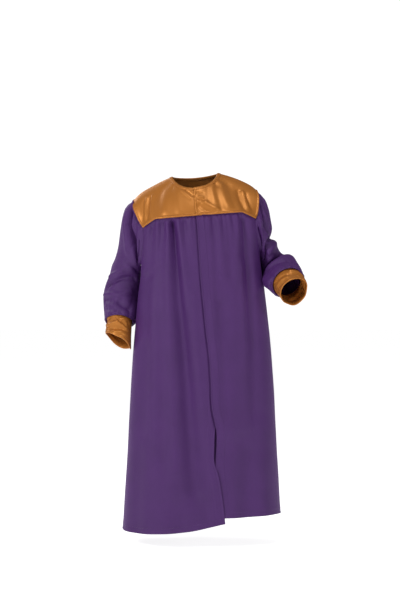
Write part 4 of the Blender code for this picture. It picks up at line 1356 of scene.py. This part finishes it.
def build_sleeves():
    """Sleeves and cuffs."""
    for side, name, rows, fold_rows, creases, rim, inset, cuff_creases in (
        (-1, "right", RINGS_RIGHT, SLEEVE_FOLDS_RIGHT, SLEEVE_CREASES_RIGHT, RIM_RIGHT, CUFF_INSET_RIGHT,
         CUFF_CREASES_RIGHT),
        (1, "left", RINGS_LEFT, SLEEVE_FOLDS_LEFT, SLEEVE_CREASES_LEFT, RIM_LEFT, CUFF_INSET_LEFT,
         CUFF_CREASES_LEFT),
    ):
        grid = sleeve_grid(side, rows, fold_rows, creases)[:, ::side]
        dress("sleeve_" + name, "purple_cloth", grid, PURPLE_CLOTH, closed=True)
        grid = cuff_grid(side, rows, rim, inset, cuff_creases)[:, ::side]
        dress("cuff_" + name, "gold_satin", grid, BAND_CLOTH, closed=True, seam_row=CUFF_STITCH_ROW)


# Stage, light and camera
FLOOR_Z = -0.926
STAGE_REACH = 30.0
PAPER = (0.66, 0.66, 0.66)
PAPER_GLOW = 0.88
WHITE = (1.0, 1.0, 1.0, 1.0)
LIGHT_AIM = (0.0, 0.0, -0.4)
ROOM_LIGHT = 0.18
BACKDROP = 1.1
SENSOR = 36.0
LENS_PIXELS = 1660
PHOTO_WIDTH = 400
CAMERA_PLACE = (0.01265, -4.2, -0.3137)


def build_stage():
    """Plain pale floor."""
    points = [(x * STAGE_REACH, y * STAGE_REACH, FLOOR_Z) for x, y in ((-1, -1), (1, -1), (1, 1), (-1, 1))]
    mesh = bpy.data.meshes.new("floor")
    mesh.from_pydata(points, [], [(0, 1, 2, 3)])
    paper, _, shader = new_material("white_paper", PAPER, 1.0, 0.0)
    shader.inputs["Specular IOR Level"].default_value = 0.0
    shader.inputs["Emission Color"].default_value = WHITE
    shader.inputs["Emission Strength"].default_value = PAPER_GLOW
    mesh.materials.append(paper)
    add_object("floor", mesh)


def area_light(name, place, size, watts):
    """Soft square light aimed at the robe."""
    data = bpy.data.lights.new(name, "AREA")
    data.shape = "SQUARE"
    data.size = size
    data.energy = watts
    light = add_object(name, data)
    light.location = place
    gaze = np.array(LIGHT_AIM) - np.array(place)
    light.rotation_euler = (
        math.acos(-gaze[2] / np.linalg.norm(gaze)), 0.0, math.atan2(gaze[1], gaze[0]) - math.pi / 2,
    )


def build_lights():
    """Soft studio light: a key from the front left, a fill from the right, one above and one behind."""
    area_light("key", (-2.6, -2.6, 1.7), 0.8, 80)
    area_light("fill", (2.6, -3.2, 0.6), 0.8, 24)
    area_light("top", (0.3, -1.2, 2.5), 0.9, 32)
    area_light("rear", (-1.8, 2.4, 1.6), 1.8, 34)
    scene = bpy.context.scene
    scene.world = scene.world or bpy.data.worlds.new("studio")
    scene.world.use_nodes = True
    tree = scene.world.node_tree
    soft = tree.nodes["Background"]
    soft.inputs["Color"].default_value = WHITE
    soft.inputs["Strength"].default_value = ROOM_LIGHT
    seen = node(tree, "ShaderNodeBackground", Color=WHITE, Strength=BACKDROP)
    mixed = tree.nodes.new("ShaderNodeMixShader")
    tree.links.new(tree.nodes.new("ShaderNodeLightPath").outputs["Is Camera Ray"], mixed.inputs[0])
    tree.links.new(soft.outputs[0], mixed.inputs[1])
    tree.links.new(seen.outputs[0], mixed.inputs[2])
    tree.links.new(mixed.outputs[0], tree.nodes["World Output"].inputs["Surface"])
    scene.view_settings.view_transform = "Standard"
    scene.view_settings.look = "None"


def build_camera():
    """Level camera in front of the robe."""
    data = bpy.data.cameras.new("camera")
    data.sensor_fit = "HORIZONTAL"
    data.sensor_width = SENSOR
    data.lens = LENS_PIXELS / PHOTO_WIDTH * SENSOR
    camera = add_object("camera", data)
    camera.location = CAMERA_PLACE
    camera.rotation_euler = (math.pi / 2, 0.0, 0.0)
    bpy.context.scene.camera = camera


build_body()
build_yoke()
build_sleeves()
build_stage()
build_lights()
build_camera()
